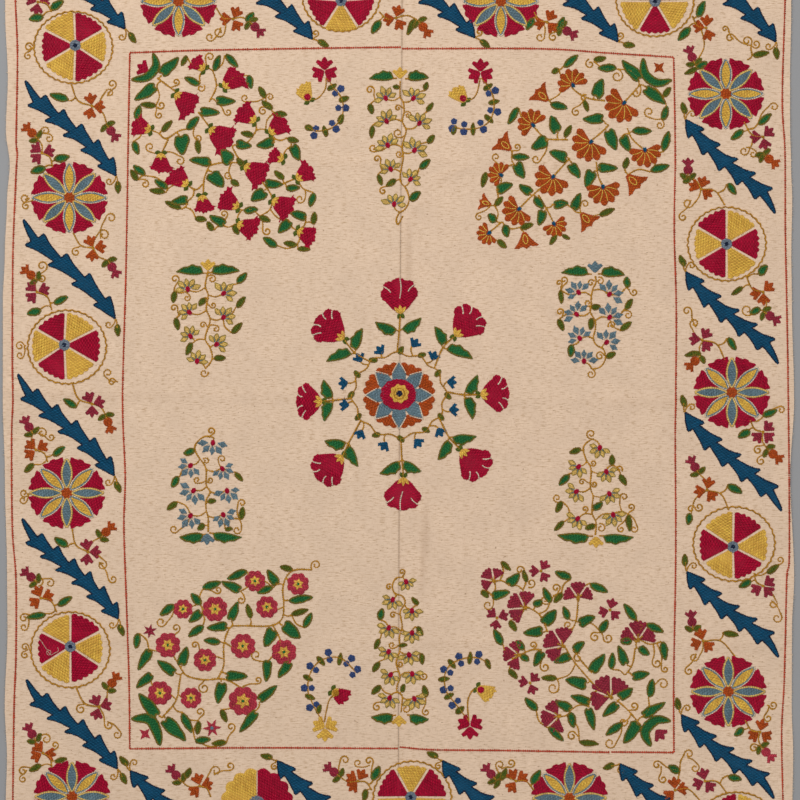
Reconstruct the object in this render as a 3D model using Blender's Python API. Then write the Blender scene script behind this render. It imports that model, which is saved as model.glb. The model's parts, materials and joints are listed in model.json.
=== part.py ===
"""A suzani hanging laid out flat: two loom widths of hand-woven cotton, joined by a seam down the middle.

The cloth lies face up on its underside. X runs across the two widths, Y runs along the seam
and Z is up. The origin is under the middle of the cloth. All lengths are in metres.
"""

import math

import bmesh
import bpy

MM = 0.001

# Driving sizes of the cloth.
CLOTH_LENGTH = 1310 * MM
CLOTH_THICKNESS = 1.5 * MM
SEAM_GAP = 0.3 * MM
END_WANDER = 1.5 * MM
LIFT_WIDTH = 22 * MM

# The loom's edges, one row for each station along the cloth, in millimetres:
# place along Y, left selvedge from the middle line, right selvedge from the middle line,
# where the seam lies in X, lift of the left selvedge, lift of the right selvedge.
STATIONS = (
    (-655, 549.0, 551.0, 0.0, 0.5, 0.5),
    (-563, 549.5, 551.5, 0.0, 1.2, 0.4),
    (-503, 548.0, 552.3, 0.0, 0.4, 1.0),
    (-431, 551.0, 550.5, 0.0, 1.4, 0.3),
    (-325, 547.3, 550.5, 0.4, 0.5, 1.2),
    (-252, 547.8, 553.7, 0.6, 0.8, 0.6),
    (-108, 551.0, 548.1, 1.0, 0.3, 1.5),
    (-3, 553.7, 553.7, 1.6, 1.6, 0.5),
    (137, 553.7, 550.5, 2.4, 0.6, 1.0),
    (200, 551.0, 549.8, 2.8, 1.0, 0.4),
    (277, 548.0, 550.9, 3.4, 0.4, 1.3),
    (326, 543.9, 549.5, 3.8, 2.0, 0.6),
    (375, 549.5, 548.1, 4.2, 0.6, 0.9),
    (445, 546.7, 548.1, 4.6, 1.1, 0.4),
    (540, 550.5, 549.5, 5.0, 0.5, 1.1),
    (655, 550.0, 550.0, 5.0, 0.6, 0.5),
)

# The creases left by storing the cloth folded in four, each a soft ridge from one selvedge to the
# other, in millimetres: Y at the left selvedge, Y at the right one, half width, height.
STORAGE_FOLDS = (
    (-338, -348, 13, 1.8),
    (6, -9, 15, 2.4),
    (333, 322, 13, 2.0),
)

# Short drag lines and puckers beside the seam, in millimetres:
# X and Y where each starts, X and Y where it ends, bow to its left, half width, height.
PUCKERS = (
    (13, 276, 12, 106, 1, 9, 2.6),
    (36, -116, 29, -290, 4, 9, 2.8),
    (34, 288, 116, 325, 6, 8, 2.0),
    (17, 262, 46, 272, 1, 6, 1.6),
    (54, 336, 84, 323, 1, 6, 1.6),
)

# Grid lines: how far rows stand from each storage fold, and the most that two rows are apart.
FOLD_ROWS = (-13 * MM, -6 * MM, 0.0, 6 * MM, 13 * MM)
ROW_SPACING = 28 * MM
# Columns beside the seam, where the puckers lie, and how far apart the others are.
SEAM_COLUMNS = (0, 5, 10, 16, 22, 28, 34, 41, 50, 62, 76, 92, 112)
COLUMN_SPACING = 38 * MM
# Most of the left width lies smooth, so it needs fewer columns beside the seam.
SMOOTH_COLUMNS = (0, 14, 40, 76)


def station_value(y, column):
    """A column of STATIONS at Y = y, smoothly between its rows, in metres."""
    along = min(max(y / MM, STATIONS[0][0]), STATIONS[-1][0])
    for before, after in zip(STATIONS, STATIONS[1:]):
        if along <= after[0]:
            share = (along - before[0]) / (after[0] - before[0])
            share = share * share * (3 - 2 * share)
            return (before[column] + (after[column] - before[column]) * share) * MM
    return STATIONS[-1][column] * MM


def left_edge(y):
    return -station_value(y, 1)


def right_edge(y):
    return station_value(y, 2)


def seam_line(y):
    return station_value(y, 3)


def soft_ridge(distance, half_width):
    """The cross-section of a crease: 1 on its line, and level with the cloth at half_width."""
    share = min(abs(distance) / half_width, 1)
    return (1 - share * share) ** 2


def fold_line(fold, x):
    """Y of a storage fold at X = x."""
    at_left, at_right = fold[0] * MM, fold[1] * MM
    share = (x - left_edge(0)) / (right_edge(0) - left_edge(0))
    return at_left + (at_right - at_left) * share


def storage_rise(x, y):
    """Height of the storage folds, a little uneven along each."""
    rise = 0
    for number, fold in enumerate(STORAGE_FOLDS):
        half_width, height = fold[2] * MM, fold[3] * MM
        uneven = 0.8 + 0.2 * math.sin(x / (70 * MM) + 2 * number)
        rise = max(rise, height * uneven * soft_ridge(y - fold_line(fold, x), half_width))
    return rise


def pucker_rise(x, y):
    """Height of the short creases beside the seam. Each fades out towards its ends."""
    rise = 0
    for from_x, from_y, to_x, to_y, bow, half_width, height in PUCKERS:
        run_x, run_y = (to_x - from_x) * MM, (to_y - from_y) * MM
        length = math.hypot(run_x, run_y)
        off_x, off_y = x - from_x * MM, y - from_y * MM
        along = (off_x * run_x + off_y * run_y) / length
        share = along / length
        if not 0 < share < 1:
            continue
        aside = (off_y * run_x - off_x * run_y) / length - bow * MM * math.sin(math.pi * share)
        fade = math.sin(math.pi * share) ** 0.6
        rise = max(rise, height * MM * fade * soft_ridge(aside, half_width * MM))
    return rise


def selvedge_rise(x, y):
    """The selvedges curl up a little, more at some stations than at others."""
    from_left = x - left_edge(y)
    from_right = right_edge(y) - x
    rise_left = station_value(y, 4) * soft_ridge(from_left, LIFT_WIDTH)
    rise_right = station_value(y, 5) * soft_ridge(from_right, LIFT_WIDTH)
    return max(rise_left, rise_right)


def rise(x, y):
    """Height of the cloth's underside above the surface that it lies on."""
    return max(storage_rise(x, y), pucker_rise(x, y), selvedge_rise(x, y))


def evenly(start, end, spacing):
    """Values from start to just before end, no more than spacing apart."""
    steps = max(math.ceil((end - start) / spacing), 1)
    return [start + (end - start) * step / steps for step in range(steps)]


def row_marks():
    """For each row of the grid, its Y at the left selvedge and at the right one."""
    bottom, top = -CLOTH_LENGTH / 2, CLOTH_LENGTH / 2
    marks = []
    last_left, last_right = bottom, bottom
    for at_left, at_right, _, _ in STORAGE_FOLDS:
        next_left, next_right = at_left * MM + FOLD_ROWS[0], at_right * MM + FOLD_ROWS[0]
        between = evenly(last_left, next_left, ROW_SPACING)
        span_left, span_right = next_left - last_left, next_right - last_right
        marks += [(y, last_right + (y - last_left) / span_left * span_right) for y in between]
        marks += [(at_left * MM + step, at_right * MM + step) for step in FOLD_ROWS[:-1]]
        last_left, last_right = at_left * MM + FOLD_ROWS[-1], at_right * MM + FOLD_ROWS[-1]
    between = evenly(last_left, top, ROW_SPACING)
    span_left, span_right = top - last_left, top - last_right
    marks += [(y, last_right + (y - last_left) / span_left * span_right) for y in between]
    return marks + [(top, top)]


def column_marks(seam_columns, width):
    """Distances from the seam out to the selvedge, as shares of the panel's nominal width."""
    last = seam_columns[-1] * MM
    beside = [column * MM for column in seam_columns[:-1]]
    return [mark / width for mark in beside + evenly(last, width, COLUMN_SPACING) + [width]]


def end_wander(x, y):
    """The cut ends aren't dead straight: they wander a little, and only there."""
    share = max(abs(y) / (CLOTH_LENGTH / 2) - 0.9, 0) / 0.1
    return -math.copysign(1, y) * END_WANDER * share * (0.5 + 0.5 * math.sin(x / (85 * MM)))


def sheet_corner(share, marks, edge, side):
    """The place on the underside that lies this share of the way from the seam to the edge."""
    at_left, at_right = marks
    y = at_left
    for _ in range(2):
        inner = seam_line(y) + side * SEAM_GAP / 2
        x = inner + share * (edge(y) - inner)
        across = (x - left_edge(0)) / (right_edge(0) - left_edge(0))
        y = at_left + (at_right - at_left) * across
    y += end_wander(x, y)
    return x, y, rise(x, y)


def cotton_material(name, colour):
    """Undyed hand-spun cotton: warm cream, matt."""
    material = bpy.data.materials.new(name)
    material.use_nodes = True
    shader = material.node_tree.nodes["Principled BSDF"]
    shader.inputs["Base Color"].default_value = (*colour, 1)
    shader.inputs["Roughness"].default_value = 0.92
    shader.inputs["Metallic"].default_value = 0
    return material


def cotton_panel(name, edge, side, seam_columns, material):
    """One loom width: a grid laid on the underside, then given the cloth's thickness."""
    rows = row_marks()
    columns = column_marks(seam_columns, abs(edge(0)))
    mesh = bpy.data.meshes.new(name)
    panel = bpy.data.objects.new(name, mesh)
    bpy.context.scene.collection.objects.link(panel)
    bm = bmesh.new()
    across, along = len(columns) - 1, len(rows) - 1
    bmesh.ops.create_grid(bm, x_segments=across, y_segments=along, size=1)
    for corner in bm.verts:
        column = round((corner.co.x + 1) / 2 * across)
        row = round((corner.co.y + 1) / 2 * along)
        corner.co = sheet_corner(columns[column], rows[row], edge, side)
    raised = bmesh.ops.extrude_face_region(bm, geom=bm.faces[:])
    top = [item for item in raised["geom"] if isinstance(item, bmesh.types.BMVert)]
    bmesh.ops.translate(bm, verts=top, vec=(0, 0, CLOTH_THICKNESS))
    bmesh.ops.recalc_face_normals(bm, faces=bm.faces[:])
    bm.to_mesh(mesh)
    bm.free()
    mesh.shade_smooth()
    mesh.set_sharp_from_angle(angle=math.radians(40))
    mesh.materials.append(material)
    return panel


def clear_scene():
    for item in list(bpy.data.objects):
        bpy.data.objects.remove(item)


def main():
    clear_scene()
    left_cotton = cotton_material("cream cotton, left width", (0.72, 0.56, 0.41))
    right_cotton = cotton_material("cream cotton, right width", (0.74, 0.58, 0.43))
    cotton_panel("panel_left", left_edge, -1, SMOOTH_COLUMNS, left_cotton)
    cotton_panel("panel_right", right_edge, 1, SEAM_COLUMNS, right_cotton)


main()
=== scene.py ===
"""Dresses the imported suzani: two widths of hand-woven cotton, and the silk embroidery on them.

The needlework is laid out on a draft, as a pattern drawer would square it up. One square of the draft
is 1.4 mm. Tables give X from the draft's left edge and Y down from its top, both in squares, and turns
in degrees from the right towards the top. Sizes of motifs are in squares too. Sizes of the cloth and
of stitches are in millimetres.
"""

import json
import math

import bmesh
import bpy
import numpy as np
from mathutils import Matrix, Vector


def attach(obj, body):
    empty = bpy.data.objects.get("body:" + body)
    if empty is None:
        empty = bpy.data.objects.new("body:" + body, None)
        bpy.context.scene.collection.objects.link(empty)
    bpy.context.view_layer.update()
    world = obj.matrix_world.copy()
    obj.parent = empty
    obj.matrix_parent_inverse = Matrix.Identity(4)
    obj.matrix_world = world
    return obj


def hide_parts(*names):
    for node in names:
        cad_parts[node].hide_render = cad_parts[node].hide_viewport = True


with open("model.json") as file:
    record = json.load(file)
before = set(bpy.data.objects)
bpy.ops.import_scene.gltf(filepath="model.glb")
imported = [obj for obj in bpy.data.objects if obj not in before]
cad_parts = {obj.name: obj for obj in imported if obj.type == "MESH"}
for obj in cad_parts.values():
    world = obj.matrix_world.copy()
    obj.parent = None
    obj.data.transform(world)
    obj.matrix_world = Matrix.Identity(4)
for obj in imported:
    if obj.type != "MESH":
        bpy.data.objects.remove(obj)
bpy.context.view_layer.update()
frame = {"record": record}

bl_info = {
    "name": "Suzani",
    "version": (1, 0, 0),
    "blender": (4, 5, 0),
    "location": "3D View > Sidebar > Suzani",
    "description": "Lays out an embroidered cotton hanging, stitch by stitch",
    "category": "Object",
}

MM = 0.001

# The draft: millimetres to a square, and the square over the middle of the cloth.
SQUARE = 1.4
DRAFT_MIDDLE = (398.5, 398.0)

# The cloth's length, its loom widths' edges and the lines of its creases are those of the solids, in
# millimetres. The creases stand lower here, where thread adds to their height.
CLOTH_LENGTH = 1310
# The cloth is this much longer than wide.
LONGER_THAN_WIDE = 1.18
SEAM_GAP = 0.3
SEAM_DIP = 0.2
SEAM_DIP_WIDTH = 2.0
LIFT_WIDTH = 22
# How far the cut ends wander, the share of the half length where that starts, and a wave's length.
END_WANDER = 1.5
WANDER_START = 0.9
WANDER_WAVE = 85

# One row for each station along the cloth, in millimetres: place along Y, left selvedge from the middle
# line, right selvedge from the middle line, where the seam lies, lift of the left and right selvedge.
LEFT_EDGE, RIGHT_EDGE, SEAM, LEFT_LIFT, RIGHT_LIFT = 1, 2, 3, 4, 5
STATIONS = np.array((
    (-655, 549.0, 551.0, 0.0, 0.5, 0.5),
    (-563, 549.5, 551.5, 0.0, 1.2, 0.4),
    (-503, 548.0, 552.3, 0.0, 0.4, 1.0),
    (-431, 551.0, 550.5, 0.0, 1.4, 0.3),
    (-325, 547.3, 550.5, 0.4, 0.5, 1.2),
    (-252, 547.8, 553.7, 0.6, 0.8, 0.6),
    (-108, 551.0, 548.1, 1.0, 0.3, 1.5),
    (-3, 553.7, 553.7, 1.6, 1.6, 0.5),
    (137, 553.7, 550.5, 2.4, 0.6, 1.0),
    (200, 551.0, 549.8, 2.8, 1.0, 0.4),
    (277, 548.0, 550.9, 3.4, 0.4, 1.3),
    (326, 543.9, 549.5, 3.8, 2.0, 0.6),
    (375, 549.5, 548.1, 4.2, 0.6, 0.9),
    (445, 546.7, 548.1, 4.6, 1.1, 0.4),
    (540, 550.5, 549.5, 5.0, 0.5, 1.1),
    (655, 550.0, 550.0, 5.0, 0.6, 0.5),
))

# Creases from storing the cloth folded: Y at the left selvedge and at the right one, half width, height.
STORAGE_FOLDS = ((-338, -348, 13, 1.0), (6, -9, 15, 1.3), (333, 322, 13, 1.1))

# Puckers beside the seam: X and Y where each starts and ends, bow to its left, half width, height.
PUCKERS = (
    (13, 276, 12, 106, 1, 9, 2.0),
    (36, -116, 29, -290, 4, 9, 2.2),
    (34, 288, 116, 325, 6, 8, 1.8),
    (17, 262, 46, 272, 1, 6, 1.6),
    (54, 336, 84, 323, 1, 6, 1.6),
)

# Faint dents from handling: length of a wave, the way that it runs, height.
HANDLING = ((93, 20, 0.10), (61, 105, 0.08), (37, 65, 0.05), (141, 80, 0.12))

# How far rows of the cloth's mesh stand from a storage fold, how far columns stand from the seam, and
# the most that two rows or columns are apart.
FOLD_ROWS = (-13, -9, -6, -3, 0, 3, 6, 9, 13)
SEAM_COLUMNS = (0, 1.2, 2.6, 4.5, 7, 10, 14, 18, 23, 28, 33, 38, 44, 51)
MESH_SPACING = 8.3

# Darkening of the cloth: how much painted shade lies along the seam, how much old dirt at the cut ends and
# how much painted shade on a crease of full height; how far it reaches from the seam and from the ends, and
# the height of a full crease.
SEAM_SHADE, END_SOIL, CREASE_SHADE = 0.45, 0.25, 0.30
SEAM_SHADE_REACH, END_SOIL_REACH, FULL_CREASE = 1.3, 8, 2.4

# Padding is cut this far from a storage fold, and at these places beside the seam where the motif is
# narrower than WIDE_MOTIF, in millimetres.
FOLD_CUTS = (-13, -7, -3, 0, 3, 7, 13)
SEAM_CUTS = range(6, 48, 6)
WIDE_MOTIF = 400

# Loose fibres along each selvedge, and the distance from one stitch of the seam to the next.
FIBRES = 900
SEAM_STITCH_SPACING = 4.2

# The record's slot that is passed along with the thread's pieces.
SILK_SLOT = "cotton_left"

# Each sort of stitch: sides and rings of its base stitch, and its height as a share of its width.
STITCH_SORTS = {"chain": (3, 3, 0.22), "fill": (4, 2, 0.24)}
# A stitch is this much longer than the way from its start to its end, to overlap its neighbours.
CHAIN_OVERLAP = 1.22
FILL_OVERLAP = 1.30
# A stitch tapers to both ends, so it is made this much wider than its line or its row of a filling.
CHAIN_BULK = 1.75
FILL_BULK = 1.22
# A row of a filling is left out below this many squares, and none of its stitches is shorter than this
# share of a whole one.
SHORTEST_ROW = 0.7
SHORTEST_STITCH = 0.35
# How much higher than the cloth lines lie, how much higher than the filling its edge lies, and how deep
# the padding reaches into the cloth, in millimetres.
LINE_LIFT = 0.35
EDGE_LIFT = 0.18
PADDING_DEPTH = 0.3
# Twigs lie this much lower than other lines, in millimetres, so that they pass under flowers and leaves.
TWIG_LIFT = -0.38


def linear(hex_colour):
    """An sRGB colour such as "#DFC6A9", as linear red, green and blue."""
    channels = [int(hex_colour[place:place + 2], 16) / 255 for place in (1, 3, 5)]
    return tuple(c / 12.92 if c <= 0.04045 else ((c + 0.055) / 1.055) ** 2.4 for c in channels)


def length_setting(name, description, millimetres):
    return bpy.props.FloatProperty(
        name=name, description=description, default=millimetres * MM, min=0, unit="LENGTH", precision=5
    )


def colour_setting(name, description, hex_colour):
    return bpy.props.FloatVectorProperty(
        name=name, description=description, default=linear(hex_colour), size=3, min=0, max=1, subtype="COLOR"
    )


class ClothSettings(bpy.types.PropertyGroup):
    """Sizes and colours of the cotton."""

    thickness: length_setting("Thickness", "From the cloth's underside to its face", 1.1)
    slub_length: length_setting("Slub length", "Length of the thick places in the weft", 9)
    slub_width: length_setting("Slub width", "Width of one weft thread, drawn coarser than it is", 1.5)
    cotton: colour_setting("Cotton", "Undyed cotton, warm cream", "#EBCEB3")
    cotton_shade: colour_setting("Slub", "The darker slubs and specks in the weft", "#B9966F")
    # This colour paints the shade in creases and along the seam, and old dirt at the cut ends and in specks.
    soil: colour_setting("Soil", "Old dirt in creases and along the seam", "#9C7552")


class StitchSettings(bpy.types.PropertyGroup):
    """Sizes of the stitches."""

    chain_length: length_setting("Chain stitch", "Length of one stitch in a line", 3.2)
    fill_length: length_setting("Filling stitch", "Length of one stitch in a filling", 6.6)
    fill_pitch: length_setting("Row spacing", "From one row of a filling to the next", 2.15)
    padding: length_setting("Padding", "Thickness of the couched silk under a filling", 0.45)
    unevenness: bpy.props.FloatProperty(
        name="Unevenness", description="How much stitches differ in size and direction", default=0.12,
        min=0, max=1, subtype="FACTOR"
    )


class ThreadColours(bpy.types.PropertyGroup):
    """Dyes of the silk."""

    crimson: colour_setting("Crimson", "Cochineal red of the rosettes and carnations", "#B30032")
    yellow: colour_setting("Yellow", "Larkspur yellow of the rosettes", "#FABF52")
    gold: colour_setting("Gold", "Dark yellow of stems and outlines", "#C28A26")
    green: colour_setting("Green", "Green of the large leaves", "#24703B")
    moss: colour_setting("Moss", "Yellowed green of small leaves", "#5A681C")
    olive: colour_setting("Olive", "Brownish olive line round the leaves", "#866A1E")
    primrose: colour_setting("Primrose", "Pale yellow of the small blooms", "#F2C46E")
    straw: colour_setting("Straw", "Pale olive outline of the yellow blooms", "#A78E3C")
    blue: colour_setting("Blue", "Indigo blue of the slanting border leaves", "#0A5173")
    navy: colour_setting("Navy", "Dark edge of the border leaves", "#16233F")
    steel: colour_setting("Steel blue", "Faded blue of the star petals", "#6F8791")
    rust: colour_setting("Rust", "Madder orange", "#BC5016")
    plum: colour_setting("Plum", "Madder purple", "#A22C40")
    raspberry: colour_setting("Raspberry", "Faded cochineal", "#C03A4A")
    indigo: colour_setting("Indigo", "Violet blue", "#3D5080")
    brick: colour_setting("Brick", "Red of the running lines", "#C6482C")
    slate: colour_setting("Slate", "Grey blue of the pinwheels' middles", "#7C8794")
    cream: colour_setting("Cream", "Undyed cotton thread", "#EBD3BA")


# Size and place of each light and half the floor's side, in metres.
KEY_LIGHT = ((2.4, 2.4), (-1.0, 1.9, 2.3))
FILL_LIGHT = ((3.0, 3.0), (1.1, -1.0, 3.4))
FLOOR_SIZE = 6


class StageSettings(bpy.types.PropertyGroup):
    """The floor, the lights and the camera."""

    floor_colour: colour_setting("Floor", "Plain pale grey floor", "#9D9D9E")
    camera_height: length_setting("Camera height", "From the floor to the camera", 2646)
    key_power: bpy.props.FloatProperty(
        name="Key light", description="Power of the large light beyond the upper left", default=51, min=0,
        unit="POWER"
    )
    fill_power: bpy.props.FloatProperty(
        name="Fill light", description="Power of the soft light overhead", default=38, min=0, unit="POWER"
    )


def station_value(y, column):
    """A column of STATIONS at each Y, smoothly between its rows."""
    before = np.clip(np.searchsorted(STATIONS[:, 0], y) - 1, 0, len(STATIONS) - 2)
    start, end = STATIONS[before], STATIONS[before + 1]
    share = np.clip((y - start[..., 0]) / (end[..., 0] - start[..., 0]), 0, 1)
    share = share * share * (3 - 2 * share)
    return start[..., column] + (end[..., column] - start[..., column]) * share


def soft_ridge(distance, half_width):
    """The cross-section of a crease: 1 on its line, and level with the cloth at half_width."""
    share = np.minimum(np.abs(distance) / half_width, 1)
    return (1 - share * share) ** 2


def fold_line(fold, x):
    """Y of a storage fold at X = x."""
    left, right = -station_value(0, LEFT_EDGE), station_value(0, RIGHT_EDGE)
    return fold[0] + (fold[1] - fold[0]) * (x - left) / (right - left)


def storage_rise(x, y):
    """Height of the storage folds, a little uneven along each."""
    rise = np.zeros_like(x)
    for number, fold in enumerate(STORAGE_FOLDS):
        uneven = 0.8 + 0.2 * np.sin(x / 70 + 2 * number)
        rise = np.maximum(rise, fold[3] * uneven * soft_ridge(y - fold_line(fold, x), fold[2]))
    return rise


def pucker_rise(x, y):
    """Height of the short creases beside the seam. Each fades out towards its ends."""
    rise = np.zeros_like(x)
    for from_x, from_y, to_x, to_y, bow, half_width, height in PUCKERS:
        run_x, run_y = to_x - from_x, to_y - from_y
        length = math.hypot(run_x, run_y)
        share = ((x - from_x) * run_x + (y - from_y) * run_y) / length ** 2
        swell = np.sin(np.pi * np.clip(share, 0, 1))
        aside = ((y - from_y) * run_x - (x - from_x) * run_y) / length - bow * swell
        rise = np.maximum(rise, height * swell ** 0.6 * soft_ridge(aside, half_width))
    return rise


def selvedge_rise(x, y):
    """The selvedges curl up a little, more at some stations than at others."""
    from_left, from_right = x + station_value(y, LEFT_EDGE), station_value(y, RIGHT_EDGE) - x
    rise_left = station_value(y, LEFT_LIFT) * soft_ridge(from_left, LIFT_WIDTH)
    rise_right = station_value(y, RIGHT_LIFT) * soft_ridge(from_right, LIFT_WIDTH)
    return np.maximum(rise_left, rise_right)


def handling_rise(x, y):
    """Faint dents all over, never below the surface that the cloth lies on."""
    rise = 0
    for length, turn, height in HANDLING:
        run = x * math.cos(math.radians(turn)) + y * math.sin(math.radians(turn))
        rise = rise + height * (1 + np.sin(2 * np.pi * run / length + 1.5 * np.sin(run / length)))
    return rise


def underside(x, y):
    """Height of the cloth's underside, in millimetres, at X and Y in millimetres."""
    creases = np.maximum(np.maximum(storage_rise(x, y), pucker_rise(x, y)), selvedge_rise(x, y))
    return creases + handling_rise(x, y)


def seam_dip(x, y):
    """The two widths are drawn down where they are sewn together."""
    return SEAM_DIP * np.exp(-((x - station_value(y, SEAM)) / SEAM_DIP_WIDTH) ** 2)


def cloth_face(x, y):
    """Height of the cloth's face, in millimetres."""
    thickness = bpy.context.scene.suzani_cloth.thickness / MM
    return underside(x, y) + thickness - seam_dip(x, y)


def shade_and_soil(x, y):
    """How dark the cloth is painted: painted shade along creases and along the seam, old dirt at the cut
    ends.
    """
    # Painted shade on the creases, darkest along their highest lines.
    creases = CREASE_SHADE * (np.maximum(storage_rise(x, y), pucker_rise(x, y)) / FULL_CREASE) ** 2
    # Painted shade along the seam, where the two widths meet.
    seam = SEAM_SHADE * np.exp(-((x - station_value(y, SEAM)) / SEAM_SHADE_REACH) ** 2)
    from_end = np.abs(y) - CLOTH_LENGTH / 2 + END_SOIL_REACH
    ends = END_SOIL * np.clip(from_end / END_SOIL_REACH, 0, 1)
    return np.maximum(np.maximum(creases, seam), ends)


def evenly(start, end, spacing):
    """Values from start to just before end, no more than spacing apart."""
    steps = max(math.ceil((end - start) / spacing), 1)
    return [start + (end - start) * step / steps for step in range(steps)]


def row_marks():
    """For each row of the cloth's mesh, its Y at the left selvedge and at the right one."""
    corners = [(-CLOTH_LENGTH / 2, -CLOTH_LENGTH / 2)]
    for at_left, at_right, _, _ in STORAGE_FOLDS:
        corners += [(at_left + step, at_right + step) for step in FOLD_ROWS]
    corners.append((CLOTH_LENGTH / 2, CLOTH_LENGTH / 2))
    marks = []
    for before, after in zip(corners, corners[1:]):
        for y in evenly(before[0], after[0], MESH_SPACING):
            share = (y - before[0]) / (after[0] - before[0])
            marks.append((y, before[1] + (after[1] - before[1]) * share))
    return marks + [corners[-1]]


def column_marks():
    """Distances from the seam out to the selvedge, as shares of a loom width."""
    width = station_value(0, LEFT_EDGE)
    return [mark / width for mark in SEAM_COLUMNS[:-1]] + [
        mark / width for mark in evenly(SEAM_COLUMNS[-1], width, MESH_SPACING)] + [1.0]


def end_wander(x, y):
    """The cut ends aren't dead straight: they wander a little, and only there."""
    share = np.maximum(np.abs(y) / (CLOTH_LENGTH / 2) - WANDER_START, 0) / 0.1
    return -np.sign(y) * END_WANDER * share * (0.5 + 0.5 * np.sin(x / WANDER_WAVE))


def panel_corner(share, marks, side):
    """X and Y of a corner of the cloth's mesh, this share of the way from the seam to the selvedge."""
    at_left, at_right = marks
    left, right = -station_value(0, LEFT_EDGE), station_value(0, RIGHT_EDGE)
    y = at_left
    for _ in range(2):
        inner = station_value(y, SEAM) + side * SEAM_GAP / 2
        outer = side * station_value(y, LEFT_EDGE if side < 0 else RIGHT_EDGE)
        x = inner + share * (outer - inner)
        y = at_left + (at_right - at_left) * (x - left) / (right - left)
    return x, y + end_wander(x, y)


def add_node(tree, kind, inputs=(), **settings):
    """Adds a node. inputs gives each socket's value, or the output that it is linked from."""
    node = tree.nodes.new(kind)
    for name, value in settings.items():
        setattr(node, name, value)
    for socket, value in dict(inputs).items():
        if isinstance(value, bpy.types.NodeSocket):
            tree.links.new(value, node.inputs[socket])
        else:
            node.inputs[socket].default_value = value
    return node


def new_material(name):
    """A material with only its shader, and the tree to build the rest in."""
    material = bpy.data.materials.new(name)
    material.use_nodes = True
    return material, material.node_tree, material.node_tree.nodes["Principled BSDF"]


def rgba(colour, share=1.0):
    """The colour made this much lighter or darker, as a shader takes it."""
    return (*(min(channel * share, 1) for channel in colour), 1)


def mixed_colour(tree, factor, first, second):
    """The output of a node that mixes two colours."""
    return add_node(tree, "ShaderNodeMix", {0: factor, 6: first, 7: second}, data_type="RGBA").outputs[2]


def hand_woven_cotton(name, warmth):
    """Hand-spun cotton in plain weave, unbleached: matt and mottled, its weft uneven with slubs.

    The real weave has about two threads to a millimetre, too fine for the render, so its threads are
    drawn 1.5 mm wide.
    """
    settings = bpy.context.scene.suzani_cloth
    material, tree, shader = new_material(name)
    place = add_node(tree, "ShaderNodeTexCoord").outputs["Object"]
    per_length, per_width = 1 / settings.slub_length, 1 / settings.slub_width

    def noise(scale, detail, stretch=(1, 1, 1), roughness=0.5):
        where = add_node(tree, "ShaderNodeMapping", {"Vector": place, "Scale": stretch}).outputs[0]
        return add_node(
            tree, "ShaderNodeTexNoise",
            {"Vector": where, "Scale": scale, "Detail": detail, "Roughness": roughness},
        ).outputs["Fac"]

    def mix(factor, first, second):
        return mixed_colour(tree, factor, first, second)

    def ramp(value, low, high, to_low=0.0, to_high=1.0):
        return add_node(
            tree, "ShaderNodeMapRange",
            {"Value": value, "From Min": low, "From Max": high, "To Min": to_low, "To Max": to_high},
        ).outputs[0]

    cotton = [channel * tint for channel, tint in zip(settings.cotton, warmth)]
    weft = noise(1, 2, (per_length, per_width * 0.9, 1), 0.6)
    warp = noise(1, 1, (per_width, per_length * 1.6, 1))
    mottle = noise(22, 4)
    slubs = ramp(weft, 0.52, 0.72, 0, 0.78)
    light_threads = ramp(weft, 0.44, 0.30, 0, 0.5)
    colour = mix(slubs, rgba(cotton), rgba(settings.cotton_shade))
    colour = mix(light_threads, colour, rgba(cotton, 1.22))
    colour = mix(ramp(warp, 0.56, 0.78, 0, 0.30), colour, rgba(settings.cotton_shade))
    colour = mix(ramp(mottle, 0.38, 0.68, 0, 0.32), colour, rgba(cotton, 0.80))
    specks = noise(1 / (2.3 * MM), 0, (0.6, 1, 1))
    colour = mix(ramp(specks, 0.80, 0.88, 0, 0.6), colour, rgba(settings.soil, 0.8))
    # Painted shade in creases and along the seam, and old dirt at the cut ends, darken the cotton here.
    soil = add_node(tree, "ShaderNodeAttribute", attribute_name="soil").outputs["Fac"]
    colour = mix(soil, colour, rgba(settings.soil))
    tree.links.new(colour, shader.inputs["Base Color"])
    shader.inputs["Roughness"].default_value = 0.93
    shader.inputs["Specular IOR Level"].default_value = 0.14
    shader.inputs["Sheen Weight"].default_value = 0.15
    shader.inputs["Sheen Roughness"].default_value = 0.5
    threads = add_node(tree, "ShaderNodeMath", {0: weft, 1: warp}, operation="ADD").outputs[0]
    bump = add_node(tree, "ShaderNodeBump", {"Height": threads, "Strength": 0.55, "Distance": 0.0006})
    tree.links.new(bump.outputs[0], shader.inputs["Normal"])
    return material


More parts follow.
